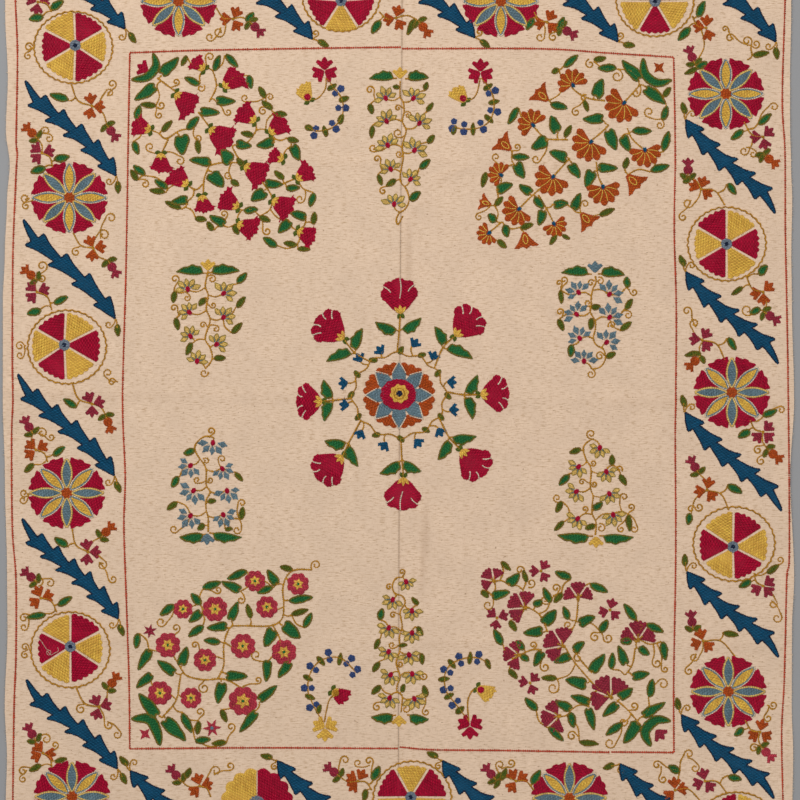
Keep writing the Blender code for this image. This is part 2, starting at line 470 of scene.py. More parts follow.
def silk_floss(thread):
    """Untwisted or barely twisted silk floss, plant-dyed: soft gloss, each stitch a shade of its own."""
    colour = getattr(bpy.context.scene.suzani_threads, thread)
    material, tree, shader = new_material(f"{thread} silk floss")
    tone = add_node(tree, "ShaderNodeAttribute", attribute_name="tone").outputs["Fac"]
    place = add_node(tree, "ShaderNodeTexCoord").outputs["Object"]
    dye = add_node(tree, "ShaderNodeTexNoise", {"Vector": place, "Scale": 45, "Detail": 3}).outputs["Fac"]
    share = add_node(tree, "ShaderNodeMath", {0: tone, 1: dye}, operation="ADD").outputs[0]
    share = add_node(
        tree, "ShaderNodeMapRange", {"Value": share, "From Min": 0.35, "From Max": 1.65}
    ).outputs[0]
    shades = mixed_colour(tree, share, rgba(colour, 0.70), rgba(colour, 1.26))
    tree.links.new(shades, shader.inputs["Base Color"])
    shader.inputs["Roughness"].default_value = 0.52
    shader.inputs["Specular IOR Level"].default_value = 0.2
    floss = add_node(tree, "ShaderNodeUVMap", uv_map="floss").outputs[0]
    strands = add_node(
        tree, "ShaderNodeTexWave", {"Vector": floss, "Scale": 1.2, "Distortion": 1.5}, bands_direction="X"
    ).outputs["Fac"]
    bump = add_node(tree, "ShaderNodeBump", {"Height": strands, "Strength": 0.35, "Distance": 0.0002})
    tree.links.new(bump.outputs[0], shader.inputs["Normal"])
    return material


def thread_material(thread):
    """Each dye is one material, which all the needlework shares."""
    return bpy.data.materials.get(f"{thread} silk floss") or silk_floss(thread)


def new_object(name, data):
    """An object in the scene with this mesh, light or camera."""
    made = bpy.data.objects.new(name, data)
    bpy.context.scene.collection.objects.link(made)
    return made


def new_mesh(name, bm):
    """A mesh with what was built in bm."""
    mesh = bpy.data.meshes.new(name)
    bm.to_mesh(mesh)
    bm.free()
    return mesh


def finish_piece(name, mesh, *replaced, slot):
    """Makes the mesh an object that rides on the cloth."""
    piece = new_object(name, mesh)
    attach(piece, "root")
    if replaced:
        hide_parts(*replaced)
    return piece


def cotton_panel(name, node, side, warmth):
    """One loom width: a grid laid on the underside, then given the cloth's thickness."""
    rows, columns = row_marks(), column_marks()
    across, along = len(columns) - 1, len(rows) - 1
    bm = bmesh.new()
    bmesh.ops.create_grid(bm, x_segments=across, y_segments=along, size=1)
    # Each corner keeps how dark it is painted: shade in creases and along the seam, dirt at the cut ends.
    darkening_layer = bm.verts.layers.float.new("soil")
    corners = list(bm.verts)
    places = []
    for corner in corners:
        column = round((corner.co.x + 1) / 2 * across)
        row = round((corner.co.y + 1) / 2 * along)
        places.append(panel_corner(columns[column], rows[row], side))
    x, y = np.array(places, float).T
    for corner, at_x, at_y, height, darkening in zip(corners, x, y, underside(x, y), shade_and_soil(x, y)):
        corner.co = (at_x * MM, at_y * MM, height * MM)
        corner[darkening_layer] = darkening
    raised = bmesh.ops.extrude_face_region(bm, geom=bm.faces[:])
    upper = [item for item in raised["geom"] if isinstance(item, bmesh.types.BMVert)]
    x, y = np.array([corner.co[:2] for corner in upper]).T / MM
    for corner, height in zip(upper, cloth_face(x, y)):
        corner.co.z = height * MM
    bmesh.ops.recalc_face_normals(bm, faces=bm.faces[:])
    mesh = new_mesh(name, bm)
    mesh.shade_smooth()
    mesh.set_sharp_from_angle(angle=math.radians(50))
    mesh.materials.append(hand_woven_cotton(f"hand-woven cotton, {name}", warmth))
    return finish_piece(name, mesh, node, slot=frame_slot(node))


def frame_slot(node):
    """The record's material slot of a CAD node."""
    for part in frame["record"]["subparts"]:
        if part["node"] == node:
            return part["material_slot"]
    raise ValueError(f"the record gives no slot for {node}")


def base_stitch(sides, rings):
    """Corners and triangles of one stitch, from -1 to 1 each way, with its length along X."""
    bm = bmesh.new()
    lengthways = Matrix.Rotation(math.radians(-90), 4, "Y")
    bmesh.ops.create_uvsphere(bm, u_segments=sides, v_segments=rings, radius=1, matrix=lengthways)
    bmesh.ops.triangulate(bm, faces=bm.faces[:])
    bm.verts.index_update()
    corners = np.array([corner.co[:] for corner in bm.verts])
    triangles = np.array([[corner.index for corner in face.verts] for face in bm.faces])
    bm.free()
    return corners, triangles


def at(x, y):
    """A place on the draft, as a complex number of squares from the middle of the cloth, up positive."""
    return complex(x - DRAFT_MIDDLE[0], DRAFT_MIDDLE[1] - y)


def draft(place):
    """X and Y on the draft of a place given in squares from the middle of the cloth."""
    return place.real + DRAFT_MIDDLE[0], DRAFT_MIDDLE[1] - place.imag


def heading(degrees):
    """One square's way at a turn."""
    return np.exp(1j * np.radians(degrees))


def turn_of(way):
    """The turn of a way from one place to another, in degrees."""
    return math.degrees(math.atan2(way.imag, way.real))


def oval(turns, radius_x, radius_y):
    """Places on an oval round 0."""
    return radius_x * np.cos(np.radians(turns)) + 1j * radius_y * np.sin(np.radians(turns))


def nearest(places, place):
    """The one of the places that lies nearest to a place."""
    return places[np.argmin(np.abs(places - place))]


def smooth_route(points, step=1.2):
    """A smooth curve through the points, as a row of places about step squares apart."""
    points = np.asarray(points, complex)
    if len(points) < 3:
        return points
    ends = np.concatenate([[2 * points[0] - points[1]], points, [2 * points[-1] - points[-2]]])
    route = []
    for before, start, end, after in zip(ends, ends[1:], ends[2:], ends[3:]):
        count = max(int(abs(end - start) / step), 2)
        t = np.arange(count) / count
        route.append(0.5 * (2 * start + (end - before) * t
                            + (2 * before - 5 * start + 4 * end - after) * t ** 2
                            + (3 * start - before - 3 * end + after) * t ** 3))
    return np.concatenate(route + [points[-1:]])


def route_through(points, step=1.2):
    """A smooth curve through points on the draft, each an X and Y."""
    return smooth_route([at(x, y) for x, y in points], step)


def inset(outline, distance):
    """The outline drawn in by a distance, each corner along the mean of its edges' normals."""
    ahead = np.roll(outline, -1) - outline
    ahead /= np.maximum(np.abs(ahead), 1e-9)
    mean = ahead + np.roll(ahead, 1)
    normal = 1j * mean / np.maximum(np.abs(mean), 1e-9)
    turning = np.sum((outline.conjugate() * np.roll(outline, -1)).imag)
    return outline + normal * distance * np.sign(turning)


class Needlework:
    """One piece of embroidery: fillings and stitches are gathered on the draft, then laid on the cloth."""

    def __init__(self, name, seed):
        self.name = name
        self.random = np.random.default_rng(seed)
        self.fillings = []
        self.stitches = {sort: [] for sort in STITCH_SORTS}

    def line(self, route, thread, width=1.6, lift=0.0, length=None, overlap=CHAIN_OVERLAP):
        """A line of chain stitches along a route. width is in squares, lift in millimetres."""
        route = np.asarray(route, complex)
        length = length or bpy.context.scene.suzani_stitches.chain_length / MM / SQUARE
        along = np.concatenate([[0], np.cumsum(np.abs(np.diff(route)))])
        marks = np.linspace(0, along[-1], max(round(along[-1] / length), 1) + 1)
        ends = np.interp(marks, along, route.real) + 1j * np.interp(marks, along, route.imag)
        self.sew("chain", ends[:-1], ends[1:], thread, width * CHAIN_BULK, lift + LINE_LIFT, overlap)

    def ring(self, outline, thread, width=1.6, lift=0.0, length=None):
        """A line of chain stitches that closes on itself."""
        outline = np.asarray(outline, complex)
        self.line(np.append(outline, outline[0]), thread, width, lift, length)

    def sew(self, sort, starts, ends, thread, width, lift, overlap):
        """Takes up stitches of one thread, width and lift."""
        self.stitches[sort].append((starts, ends, thread, width, lift, overlap))

    def fill(self, outline, thread, turn=0.0, lift=0.0):
        """Padding in the shape of the outline, and rows of stitches over it, laid as in brickwork."""
        outline = np.asarray(outline, complex)
        self.fillings.append((outline, thread, lift))
        sizes = bpy.context.scene.suzani_stitches
        pitch, length = sizes.fill_pitch / MM / SQUARE, sizes.fill_length / MM / SQUARE
        turned = outline * heading(-turn)
        following = np.roll(turned, -1)
        starts, ends = [], []
        low, high = turned.imag.min(), turned.imag.max()
        rows = max(round((high - low) / pitch), 1)
        for row in range(rows):
            y = low + (high - low) * (row + 0.5) / rows
            crossed = (turned.imag <= y) != (following.imag <= y)
            first, second = turned[crossed], following[crossed]
            places = np.sort(first.real + (y - first.imag) / (second.imag - first.imag)
                             * (second.real - first.real))
            for left, right in zip(places[::2], places[1::2]):
                if right - left < SHORTEST_ROW:
                    continue
                shift = length * (0.5 * (row % 2) + 0.15 * self.random.random())
                marks = np.arange(math.ceil((left - shift) / length) * length + shift, right, length)
                least = SHORTEST_STITCH * length
                marks = marks[(marks > left + least) & (marks < right - least)]
                marks = np.concatenate([[left], marks, [right]]) + 1j * y
                starts.append(marks[:-1])
                ends.append(marks[1:])
        if starts:
            back = heading(turn)
            starts, ends = np.concatenate(starts) * back, np.concatenate(ends) * back
            padding = sizes.padding / MM
            self.sew("fill", starts, ends, thread, pitch * FILL_BULK, lift + padding, FILL_OVERLAP)

    def shape(self, outline, thread, edge, turn=0.0, lift=0.0, edge_width=1.5):
        """A filling with a line of another thread round it."""
        outline = np.asarray(outline, complex)
        self.fill(outline, thread, turn, lift)
        self.ring(inset(outline, 0.35 * edge_width), edge, edge_width, lift + EDGE_LIFT)

    def padding_mesh(self, threads):
        """The fillings' padding: each outline is raised from one face, cut where the cloth bends."""
        bm = bmesh.new()
        lift_layer = bm.verts.layers.float.new("lift")
        for outline, thread, lift in self.fillings:
            corners = [bm.verts.new((place.real * SQUARE * MM, place.imag * SQUARE * MM, 0))
                       for place in outline]
            for corner in corners:
                corner[lift_layer] = lift
            face = bm.faces.new(corners)
            face.material_index = threads.index(thread)
        for point, normal in self.cuts(bm):
            bmesh.ops.bisect_plane(
                bm, geom=bm.verts[:] + bm.edges[:] + bm.faces[:], dist=1e-6, plane_co=point, plane_no=normal
            )
        bmesh.ops.triangulate(bm, faces=[face for face in bm.faces if len(face.verts) > 4])
        raised = bmesh.ops.extrude_face_region(bm, geom=bm.faces[:])
        upper = {item for item in raised["geom"] if isinstance(item, bmesh.types.BMVert)}
        corners = list(bm.verts)
        x, y = np.array([corner.co[:2] for corner in corners]).T / MM
        padding = bpy.context.scene.suzani_stitches.padding / MM
        for corner, height in zip(corners, cloth_face(x, y)):
            proud = padding + corner[lift_layer] if corner in upper else -PADDING_DEPTH
            corner.co.z = (height + proud) * MM
        bmesh.ops.recalc_face_normals(bm, faces=bm.faces[:])
        return new_mesh(self.name + " padding", bm)

    def cuts(self, bm):
        """Planes that part the padding where the cloth bends: at the storage folds and the puckers."""
        xs, ys = [[corner.co[axis] / MM for corner in bm.verts] for axis in (0, 1)]
        for fold in STORAGE_FOLDS:
            slope = (fold[1] - fold[0]) / CLOTH_LENGTH * LONGER_THAN_WIDE
            for step in FOLD_CUTS:
                y = fold_line(fold, 0.0) + step
                if min(ys) < y < max(ys):
                    yield (0, y * MM, 0), (-slope, 1, 0)
        for x in SEAM_CUTS:
            if min(xs) < x < max(xs) and max(xs) - min(xs) < WIDE_MOTIF:
                yield (x * MM, 0, 0), (1, 0, 0)

    def stitch_mesh(self, sort, threads):
        """All the stitches of one sort, as copies of one base stitch that follow the cloth's face."""
        sides, rings, height_share = STITCH_SORTS[sort]
        corners, triangles = base_stitch(sides, rings)
        batches = self.stitches[sort]
        counts = [len(batch[0]) for batch in batches]
        starts = np.concatenate([batch[0] for batch in batches]) * SQUARE
        ends = np.concatenate([batch[1] for batch in batches]) * SQUARE
        index = np.repeat([threads.index(batch[2]) for batch in batches], counts)
        width = np.repeat([batch[3] for batch in batches], counts) * SQUARE
        lift = np.repeat([batch[4] for batch in batches], counts)
        overlap = np.repeat([batch[5] for batch in batches], counts)
        uneven = bpy.context.scene.suzani_stitches.unevenness
        count = len(starts)
        middle, half = (starts + ends) / 2, (ends - starts) / 2
        ahead = half / np.maximum(np.abs(half), 1e-9)
        ahead *= np.exp(1j * uneven * self.random.normal(size=count) * 0.6)
        reach = (np.abs(half) * overlap + 0.1) * (1 + uneven * 0.5 * self.random.normal(size=count))
        width = width * (1 + uneven * self.random.normal(size=count).clip(-2, 2))
        place = (middle[:, None] + ahead[:, None] * (reach[:, None] * corners[:, 0]
                                                     + 0.5j * width[:, None] * corners[:, 1]))
        bulk = height_share * width[:, None] * corners[:, 2]
        height = cloth_face(place.real, place.imag) + lift[:, None] + bulk
        points = np.stack([place.real, place.imag, height], -1).reshape(-1, 3) * MM
        faces = (np.arange(count)[:, None, None] * len(corners) + triangles).reshape(-1, 3)
        mesh = bpy.data.meshes.new(f"{self.name} {sort}")
        mesh.from_pydata(points, [], faces)
        mesh.shade_smooth()
        mesh.polygons.foreach_set("material_index", np.repeat(index, len(triangles)).astype(np.int32))
        tone = mesh.attributes.new("tone", "FLOAT", "POINT")
        shades = 0.5 + 0.24 * self.random.normal(size=count).clip(-2, 2)
        tone.data.foreach_set("value", np.repeat(shades, len(corners)).astype(np.float32))
        floss = mesh.uv_layers.new(name="floss")
        across = np.stack([corners[:, 1], corners[:, 0]], -1)[triangles].reshape(-1, 2) / 2 + 0.5
        floss.uv.foreach_set("vector", np.tile(across, (count, 1)).astype(np.float32).ravel())
        return mesh

    def lay(self, slot):
        """Lays the needlework on the cloth as one piece."""
        threads = sorted({filling[1] for filling in self.fillings}
                         | {batch[2] for batches in self.stitches.values() for batch in batches})
        meshes = [self.stitch_mesh(sort, threads) for sort in self.stitches if self.stitches[sort]]
        if self.fillings:
            meshes.append(self.padding_mesh(threads))
        parts = []
        for mesh in meshes:
            for thread in threads:
                mesh.materials.append(thread_material(thread))
            parts.append(new_object(self.name, mesh))
        if len(parts) > 1:
            with bpy.context.temp_override(active_object=parts[0], selected_editable_objects=parts):
                bpy.ops.object.join()
        mesh = parts[0].data
        bpy.data.objects.remove(parts[0])
        mesh.name = self.name
        return finish_piece(self.name, mesh, slot=slot)


# Sizes of the motifs, in squares. Rosettes: reach of a pinwheel's sectors, the bare cloth between them,
# waves of its ring, and radius of the middle of both kinds.
SECTOR_REACH = 33.2
SECTOR_GAP = 2.0
RING_WAVES = 36
ROSETTE_MIDDLE = 5.6
# Border leaves: half the span of each pair of barbs, half the width between pairs, how far the upper barbs
# stand behind the middle of the pair and the lower ones before it, and the stalk's length.
BARB_SPANS = (9.4, 10.4, 11.0, 11.0, 10.4, 9.8)
BARB_NECK = 3.7
BARB_SKEW = 2.3
SPEAR_STALK = 22
# Curls: the widest turn as a share of the radius in the tables, and how far a tendril winds, in degrees.
CURL_WIDEST = 1.15
CURL_WINDING = 400
# Leaves from this width on are green, and from this width on they are notched at the foot.
GREEN_LEAF = 6.5
BROAD_LEAF = 8.5

# Single shapes, in squares, and after them the motifs that are made of them.


def almond(length, width, points=16):
    """A petal or leaf that is pointed at both ends, its foot at 0 and its tip to the right."""
    share = np.linspace(0, 1, points // 2 + 1)
    half = width / 2 * np.sin(np.pi * share) ** 0.8
    upper = length * share + 1j * half
    return np.concatenate([upper, upper[-2:0:-1].conjugate()])


def wheel_petal(inner, outer, start, end, gap=1.0, scallops=3, depth=0.06, crown=0.0):
    """A petal of a wheel round 0, from one turn to the next, with a gap of bare cloth to its neighbours."""
    steps = np.linspace(0, 1, scallops * 4 + 1)
    wave = 1 - depth * (1 - np.abs(np.sin(np.pi * scallops * steps)))
    radius = outer * wave * (1 - crown * (2 * steps - 1) ** 2)
    aside = gap / 2 * (1 - 2 * steps)
    edge = heading(start + (end - start) * steps) * (radius + 1j * aside)
    foot = [heading(end) * (inner - 0.5j * gap), heading(start) * (inner + 0.5j * gap)]
    return np.concatenate([edge, foot])


def disc(radius, points=12):
    """A round outline, its middle at 0."""
    return radius * np.exp(2j * np.pi * np.arange(points) / points)


def pinwheel_rosette(work, x, y, crimson_turn, ring, size=1.0):
    """Six sectors, crimson and yellow by turns, in a wavy gold ring with a middle of its own."""
    middle = at(x, y)
    ring_x, ring_y, radius_x, radius_y = ring
    offset = 0.6 * (at(ring_x, ring_y) - middle)
    for number in range(6):
        turn = crimson_turn + 60 * number
        reach = size * (SECTOR_REACH + math.sin(2.1 * number + x))
        sector = wheel_petal(5.0, reach, turn - 29.5, turn + 29.5, SECTOR_GAP, 5, 0.045, -0.035)
        sector += offset * np.abs(sector) / reach
        thread = "yellow" if number % 2 else "crimson"
        work.fill(middle + sector, thread, turn + (90 if thread == "crimson" else 55))
    work.fill(middle + disc(ROSETTE_MIDDLE), "slate", 20, 0.3)
    work.fill(middle + disc(2.2, 8), "navy", 20, 0.55)
    turns = np.arange(0, 360, 2.5)
    wave = 1 + 0.022 * np.sin(RING_WAVES * np.radians(turns))
    work.ring(at(ring_x, ring_y) + wave * oval(turns, radius_x, radius_y), "gold", 1.5, 0.0, 1.7)


def star_rosette(work, x, y, upright, radius_x=37, radius_y=34.5):
    """Eight petals, steel blue and yellow by turns, with crimson between them."""
    middle = at(x, y)
    petal_foot, petal_length, petal_width, rim_radius = 4, 32.5, 10.6, 37.6

    def stretched(shape):
        return middle + shape.real * radius_x / 36 + 1j * shape.imag * radius_y / 36

    colours = ("yellow", "steel") if upright == "yellow" else ("steel", "yellow")
    for number in range(8):
        thread = colours[number % 2]
        petal = heading(45 * number) * (petal_foot + almond(petal_length, petal_width))
        edge = "steel" if thread == "yellow" else "primrose"
        work.shape(stretched(petal), thread, edge, 45 * number + 65, 0.0, 1.6)
        if thread == "yellow":
            work.ring(stretched(inset(petal, -0.5)), "cream", 1.1, 0.1)
        steps = np.linspace(0, 1, 9)
        along = 13.5 + 21.5 * steps
        aside = 5.2 * np.sin(np.pi * (along - petal_foot) / petal_length) ** 0.8 + 0.6
        lower = heading(45 * number) * (along + 1j * aside)
        upper = (heading(45 * number + 45) * (along - 1j * aside))[::-1]
        arc = np.linspace(0.06, 0.94, 13)
        bulge = rim_radius * (1 - 0.055 * (1 - np.abs(np.sin(3 * np.pi * arc))))
        rim = heading(45 * number + 45 * arc) * bulge
        lower, upper = lower[np.abs(lower) < 35], upper[np.abs(upper) < 35]
        wedge = np.concatenate([lower, rim[1:-1], upper])
        work.fill(stretched(wedge), "crimson", 45 * number + 22.5 + 90)
    work.fill(middle + disc(ROSETTE_MIDDLE), "rust", 45, 0.35)


def spear(work, tip_x, tip_y, foot_x, foot_y, pairs, leaf_turn, curl_lean=-62):
    """A slanting border leaf: arrowheads one behind another and a stalk. Its tip has a leaf and a curl."""
    tip, foot = at(tip_x, tip_y), at(foot_x, foot_y)
    whole = abs(foot - tip)
    blade = whole - SPEAR_STALK
    upper, lower = [0.0], []
    for number in range(pairs):
        barb, span = blade * (number + 0.75) / (pairs - 0.25), BARB_SPANS[number]
        pitch = blade / (pairs - 0.25) if number else barb
        slope = ((-0.5, 6.1), (-0.24, 8.2)) if number else ((-0.5, 5.4), (-0.2, 8.0))
        for row, side in ((upper, 1), (lower, -1)):
            row += [barb + share * pitch + side * (BARB_SKEW + 1j * half) for share, half in slope]
            row += [barb - 0.6 + side * (BARB_SKEW + 1j * span),
                    barb + 0.9 + side * (BARB_SKEW + 1j * (span - 0.6)),
                    barb - 0.2 + side * (0.5 * BARB_SKEW + 1j * BARB_NECK)]
    outline = np.array(upper + [blade + 9 + 3.4j, whole - 5 + 2.3j, whole + 0.4 + 0.9j, whole + 0.4 - 0.9j,
                                whole - 5 - 2.1j, blade + 8 - 3.2j] + lower[::-1])

    def bent(shape):
        share = shape.real / whole
        local = shape + 1j * np.interp(share, (0, 0.15, 0.38, 0.6, 0.84, 1), (0, -2.6, -2.2, 1.6, 5.4, 0))
        return tip + local * (foot - tip) / whole

    lean = turn_of(foot - tip)
    work.shape(bent(outline), "blue", "navy", lean + 38, 0.0, 1.2)
    place = tip + 9.5 * heading(leaf_turn)
    work.line(smooth_route([tip, tip + 2 * heading(leaf_turn + 20), place]), "gold", 1.4)
    leaf(work, *draft(place + 2 * heading(leaf_turn)), leaf_turn, 12.5, 6)
    away = 8.5 if curl_lean < 0 else 7
    curl(work, *draft(tip + away * heading(leaf_turn + curl_lean)), 3.2, tip, math.copysign(1, curl_lean))


def curl(work, x, y, radius, root, sense=0):
    """A tendril from its root, that winds once and a bit round X, Y."""
    middle = at(x, y)
    radius *= CURL_WIDEST
    sense = sense or (1 if (3 * x + 5 * y) % 2 < 1 else -1)
    toward = turn_of(root - middle)
    steps = np.linspace(0, 1, 24)
    turns = toward + sense * (62 + CURL_WINDING * steps)
    spiral = middle + radius * (1 - 0.68 * steps) * heading(turns)
    if abs(root - middle) > radius * 1.1:
        spiral = np.concatenate([smooth_route([root, (root + spiral[0]) / 2 + 0.1j * (spiral[0] - root),
                                               spiral[0], spiral[2]])[:-2], spiral])
    work.line(spiral, "gold", 1.5, TWIG_LIFT, 2)


def edged_leaf(work, outline, turn, thread="green"):
    """A leaf's filling with an olive line round it. A green one also has a mossy line inside that."""
    work.fill(outline, thread, turn)
    if thread == "green":
        work.ring(inset(outline, 1.25), "moss", 1.2, 0.16, 3)
    work.ring(inset(outline, 0.3), "olive", 1.1, 0.2)


def leaf(work, x, y, turn, length, width):
    """A leaf with its middle at X, Y, mossy where it is narrow. Broad ones are notched at the foot."""
    share = np.linspace(0, 1, 10)
    half = width / 2 * np.sin(np.pi * share ** 0.8) ** 0.7
    side = 1 if (x + 2 * y) % 2 < 1 else -1
    if width >= BROAD_LEAF:
        share = np.array([0.09, 0.0, 0.04, 0.17, 0.37, 0.57, 0.77, 0.91, 1.0])
        half = width * np.array([0.0, 0.22, 0.38, 0.5, 0.5, 0.43, 0.3, 0.15, 0.0])
    bend = 0.1 * width * side * np.cos(np.pi * share)
    upper = length * (share - 0.5) + 1j * (half * (1 + 0.1 * np.sin(21 * share + x)) + bend)
    lower = length * (share - 0.5) - 1j * (half * (1 + 0.1 * np.sin(21 * share + y)) - bend)
    outline = np.concatenate([upper, lower[-2:0:-1]])
    thread = "green" if width >= GREEN_LEAF else "moss"
    edged_leaf(work, at(x, y) + outline * heading(turn), turn + 60, thread)


def leaf_from(work, foot, tip, width, side):
    """A leaf from its foot to its tip on the draft, one edge nearly straight and the other full."""
    work.line([foot, foot + 0.16 * (tip - foot)], "gold", 1.4)
    foot = foot + 0.12 * (tip - foot)
    share = np.linspace(0, 1, 13)
    full = width * 0.76 * np.sin(np.pi * share ** 0.62) ** 0.7 * (1 + 0.14 * np.sin(6 * np.pi * share))
    flat = width * 0.24 * np.sin(np.pi * share ** 0.7)
    length = abs(tip - foot)
    outline = np.concatenate([share + 1j * full / length, (share - 1j * flat / length)[-2:0:-1]])
    outline = outline if side > 0 else outline.conjugate()
    lean = turn_of(tip - foot)
    edged_leaf(work, foot + outline * (tip - foot), lean + 60)


def bent_leaf(work, points, width):
    """A leaf that bends round a corner, through the points along its middle."""
    route = route_through(points, 2.2)
    side = 1j * np.gradient(route)
    side /= np.abs(side)
    half = width / 2 * np.sin(np.pi * np.linspace(0, 1, len(route))) ** 0.5
    outline = np.concatenate([route + side * half, (route - side * half)[-2:0:-1]])
    edged_leaf(work, outline, 40)


def star(work, x, y, radius, points, thread, turn=90.0, waist=0.42, lift=0.0):
    """A star with its middle at X, Y."""
    corners = np.arange(2 * points)
    rim = radius * np.where(corners % 2, waist, 1.0) * heading(turn + 180 * corners / points)
    work.fill(at(x, y) + rim, thread, turn + 30, lift)


def floret(work, place, turn, size, thread, spread=1.0):
    """A tulip of three points, its foot at a place on the draft."""
    half = np.array([0.0, 0.10 + 0.20j, 0.34 + 0.42j, 0.60 + 0.70j, 0.82 + 0.55j, 0.68 + 0.26j, 0.92 + 0.15j])
    half = half.real + 1j * spread * half.imag
    outline = place + np.concatenate([half, [1.04], half[:0:-1].conjugate()]) * size * heading(turn)
    work.fill(outline, thread, turn + 90)


def three_florets(work, x, y, thread, turns, size=11.3):
    """A flower of three tulips from one middle."""
    for turn in turns:
        floret(work, at(x, y) + 1.9 * heading(turn), turn, size, thread, 0.86)
    work.fill(at(x, y) + disc(1.5, 8), "gold", 0, 0.1)


def bud(work, x, y, turn, thread):
    """A round seed head with a crown of three points, and two small leaves under it."""
    work.fill(at(x, y) + disc(4.7, 12), thread, turn)
    floret(work, at(x, y) + 3.2 * heading(turn), turn, 9.0, thread)
    foot = at(x, y) - 7.5 * heading(turn)
    work.line([foot, at(x, y) - 3.5 * heading(turn)], "gold", 1.4)
    for side in (-1, 1):
        leaf(work, *draft(foot + 4.6 * heading(turn + side * 75)), turn + side * 62, 9.5, 5)
    return foot


def calyx(work, foot, turn, length, spread=44):
    """Three yellow points over the foot of a flower."""
    for lean in (-spread, 0, spread):
        point = foot - 0.8 * heading(turn) + almond(length, 0.4 * length, 8) * heading(turn + lean)
        work.fill(point, "yellow", turn + lean, 0.4)


def bell(work, x, y, turn, radius, thread="crimson", teeth=7, spread=45):
    """A bell seen from the side, its foot at X, Y, its mouth ragged and its lips turned out."""
    steps = np.linspace(-1, 1, 2 * teeth + 1)
    lobes = 0.10 * np.abs(np.sin(1.5 * np.pi * steps + 0.3 * (x % 3)))
    ragged = 0.075 * (np.arange(len(steps)) % 2) + lobes
    lean = 0.10 * math.cos(1.7 * x + y)
    reach = radius * (1.03 - ragged) * (1 + lean * steps)
    shoulder = np.array([0.3 + 2.4j, *(radius * np.array([0.20 + 0.29j, 0.44 + 0.40j, 0.60 + 0.46j]))])
    outline = np.concatenate([shoulder.conjugate(), heading(spread * steps) * reach, shoulder[::-1]])
    work.fill(at(x, y) + outline * heading(turn), thread, turn + 90)
    for side in (-1, 1):
        sepal = almond(6.4, 4.4, 8) * heading(turn + side * 84)
        work.fill(at(x, y) - 1.8 * heading(turn) + sepal, "moss", turn)
    calyx(work, at(x, y), turn, 7.2)


def petal_fan(work, x, y, turn, radius, thread, petals, spread, gap, scallops, depth, foot="gold", vein=None):
    """A flower of petals spread round its foot at X, Y, with bare cloth or a line of thread between them."""
    each = spread / petals
    for number in range(petals):
        start = turn - spread / 2 + each * number
        reach = radius * (1 - 0.12 * abs(2 * (number + 0.5) / petals - 1))
        shape = wheel_petal(1.6, reach, start, start + each, gap, scallops, depth, 0.04)
        work.fill(at(x, y) + shape, thread, start + each / 2 + 75)
        if vein and number:
            bowed = np.array([3, 0.45 * reach, 0.80 * reach]) * np.exp(1j * np.array([0.0, 0.05, -0.04]))
            work.line(smooth_route(at(x, y) + heading(start) * bowed), vein, 0.85, 0.35, 2)
    cup = 2.6 * np.array([1.3, 0.7j, -0.9 + 0.6j, -0.9 - 0.6j, -0.7j]) * heading(turn)
    work.fill(at(x, y) + cup, foot, turn, 0.3)


def cone(work, x, y, turn, length):
    """A trumpet from the side, its lips turned out, with a yellow loop in it."""
    steps = np.linspace(-1, 1, 13)
    reach = 0.72 + 0.04 * np.cos(2.6 * np.pi * steps) + 0.18 * steps ** 4
    mouth = length * heading(40 * steps) * reach
    flank = length * np.array([0.02 + 0.09j, 0.27 + 0.22j, 0.50 + 0.39j])
    outline = np.concatenate([flank.conjugate(), mouth, flank[::-1]])
    work.fill(at(x, y) + outline * heading(turn), "rust", turn + 80)
    loop = (0.12 + almond(0.46, 0.22, 12)) * length * heading(turn)
    work.ring(at(x, y) + loop, "yellow", 0.95, 0.5, 2)


def round_flower(work, x, y, radius):
    """A round flower of eight lobes with a gold star and a green eye."""
    turn = np.arange(0, 360, 9)
    rim = radius * (0.88 + 0.15 * np.abs(np.sin(np.radians(4 * turn)))) * heading(turn)
    work.fill(at(x, y) + rim, "raspberry", 35 + 7 * x)
    star(work, x, y, radius * 0.52, 6, "yellow", 20 + x, 0.62, 0.4)
    work.fill(at(x, y) + disc(1.5, 7), "green", 0, 0.7)


def bloom(work, x, y, turn, radius, thread):
    """A small spray flower: five short petals and their stamens, spread from a crimson neck."""
    half = np.array([0.32, 0.52 + 0.12j, 0.72 + 0.23j, 0.84 + 0.13j])
    petal = radius * np.concatenate([half, [1.06], half[:0:-1].conjugate()])
    for number, lean in enumerate((-80, -40, 0, 40, 80)):
        way = heading(turn + lean) * (0.92 + 0.08 * math.cos(2 * number + x))
        outline = at(x, y) + way * petal
        work.fill(outline, thread, turn + lean + 60)
        if thread == "primrose":
            work.ring(outline, "straw", 0.75, 0.25)
    for lean in (-60, -20, 20, 60):
        stamen = at(x, y) + heading(turn + lean) * radius * np.array([0.2, 0.66])
        work.line(stamen, "steel" if thread == "primrose" else "cream", 0.75, 0.1)
    neck = heading(np.arange(0, 360, 40))
    work.fill(at(x, y) + (0.8 + 3.0 * neck.real + 2.2j * neck.imag) * heading(turn), "crimson", turn, 0.45)


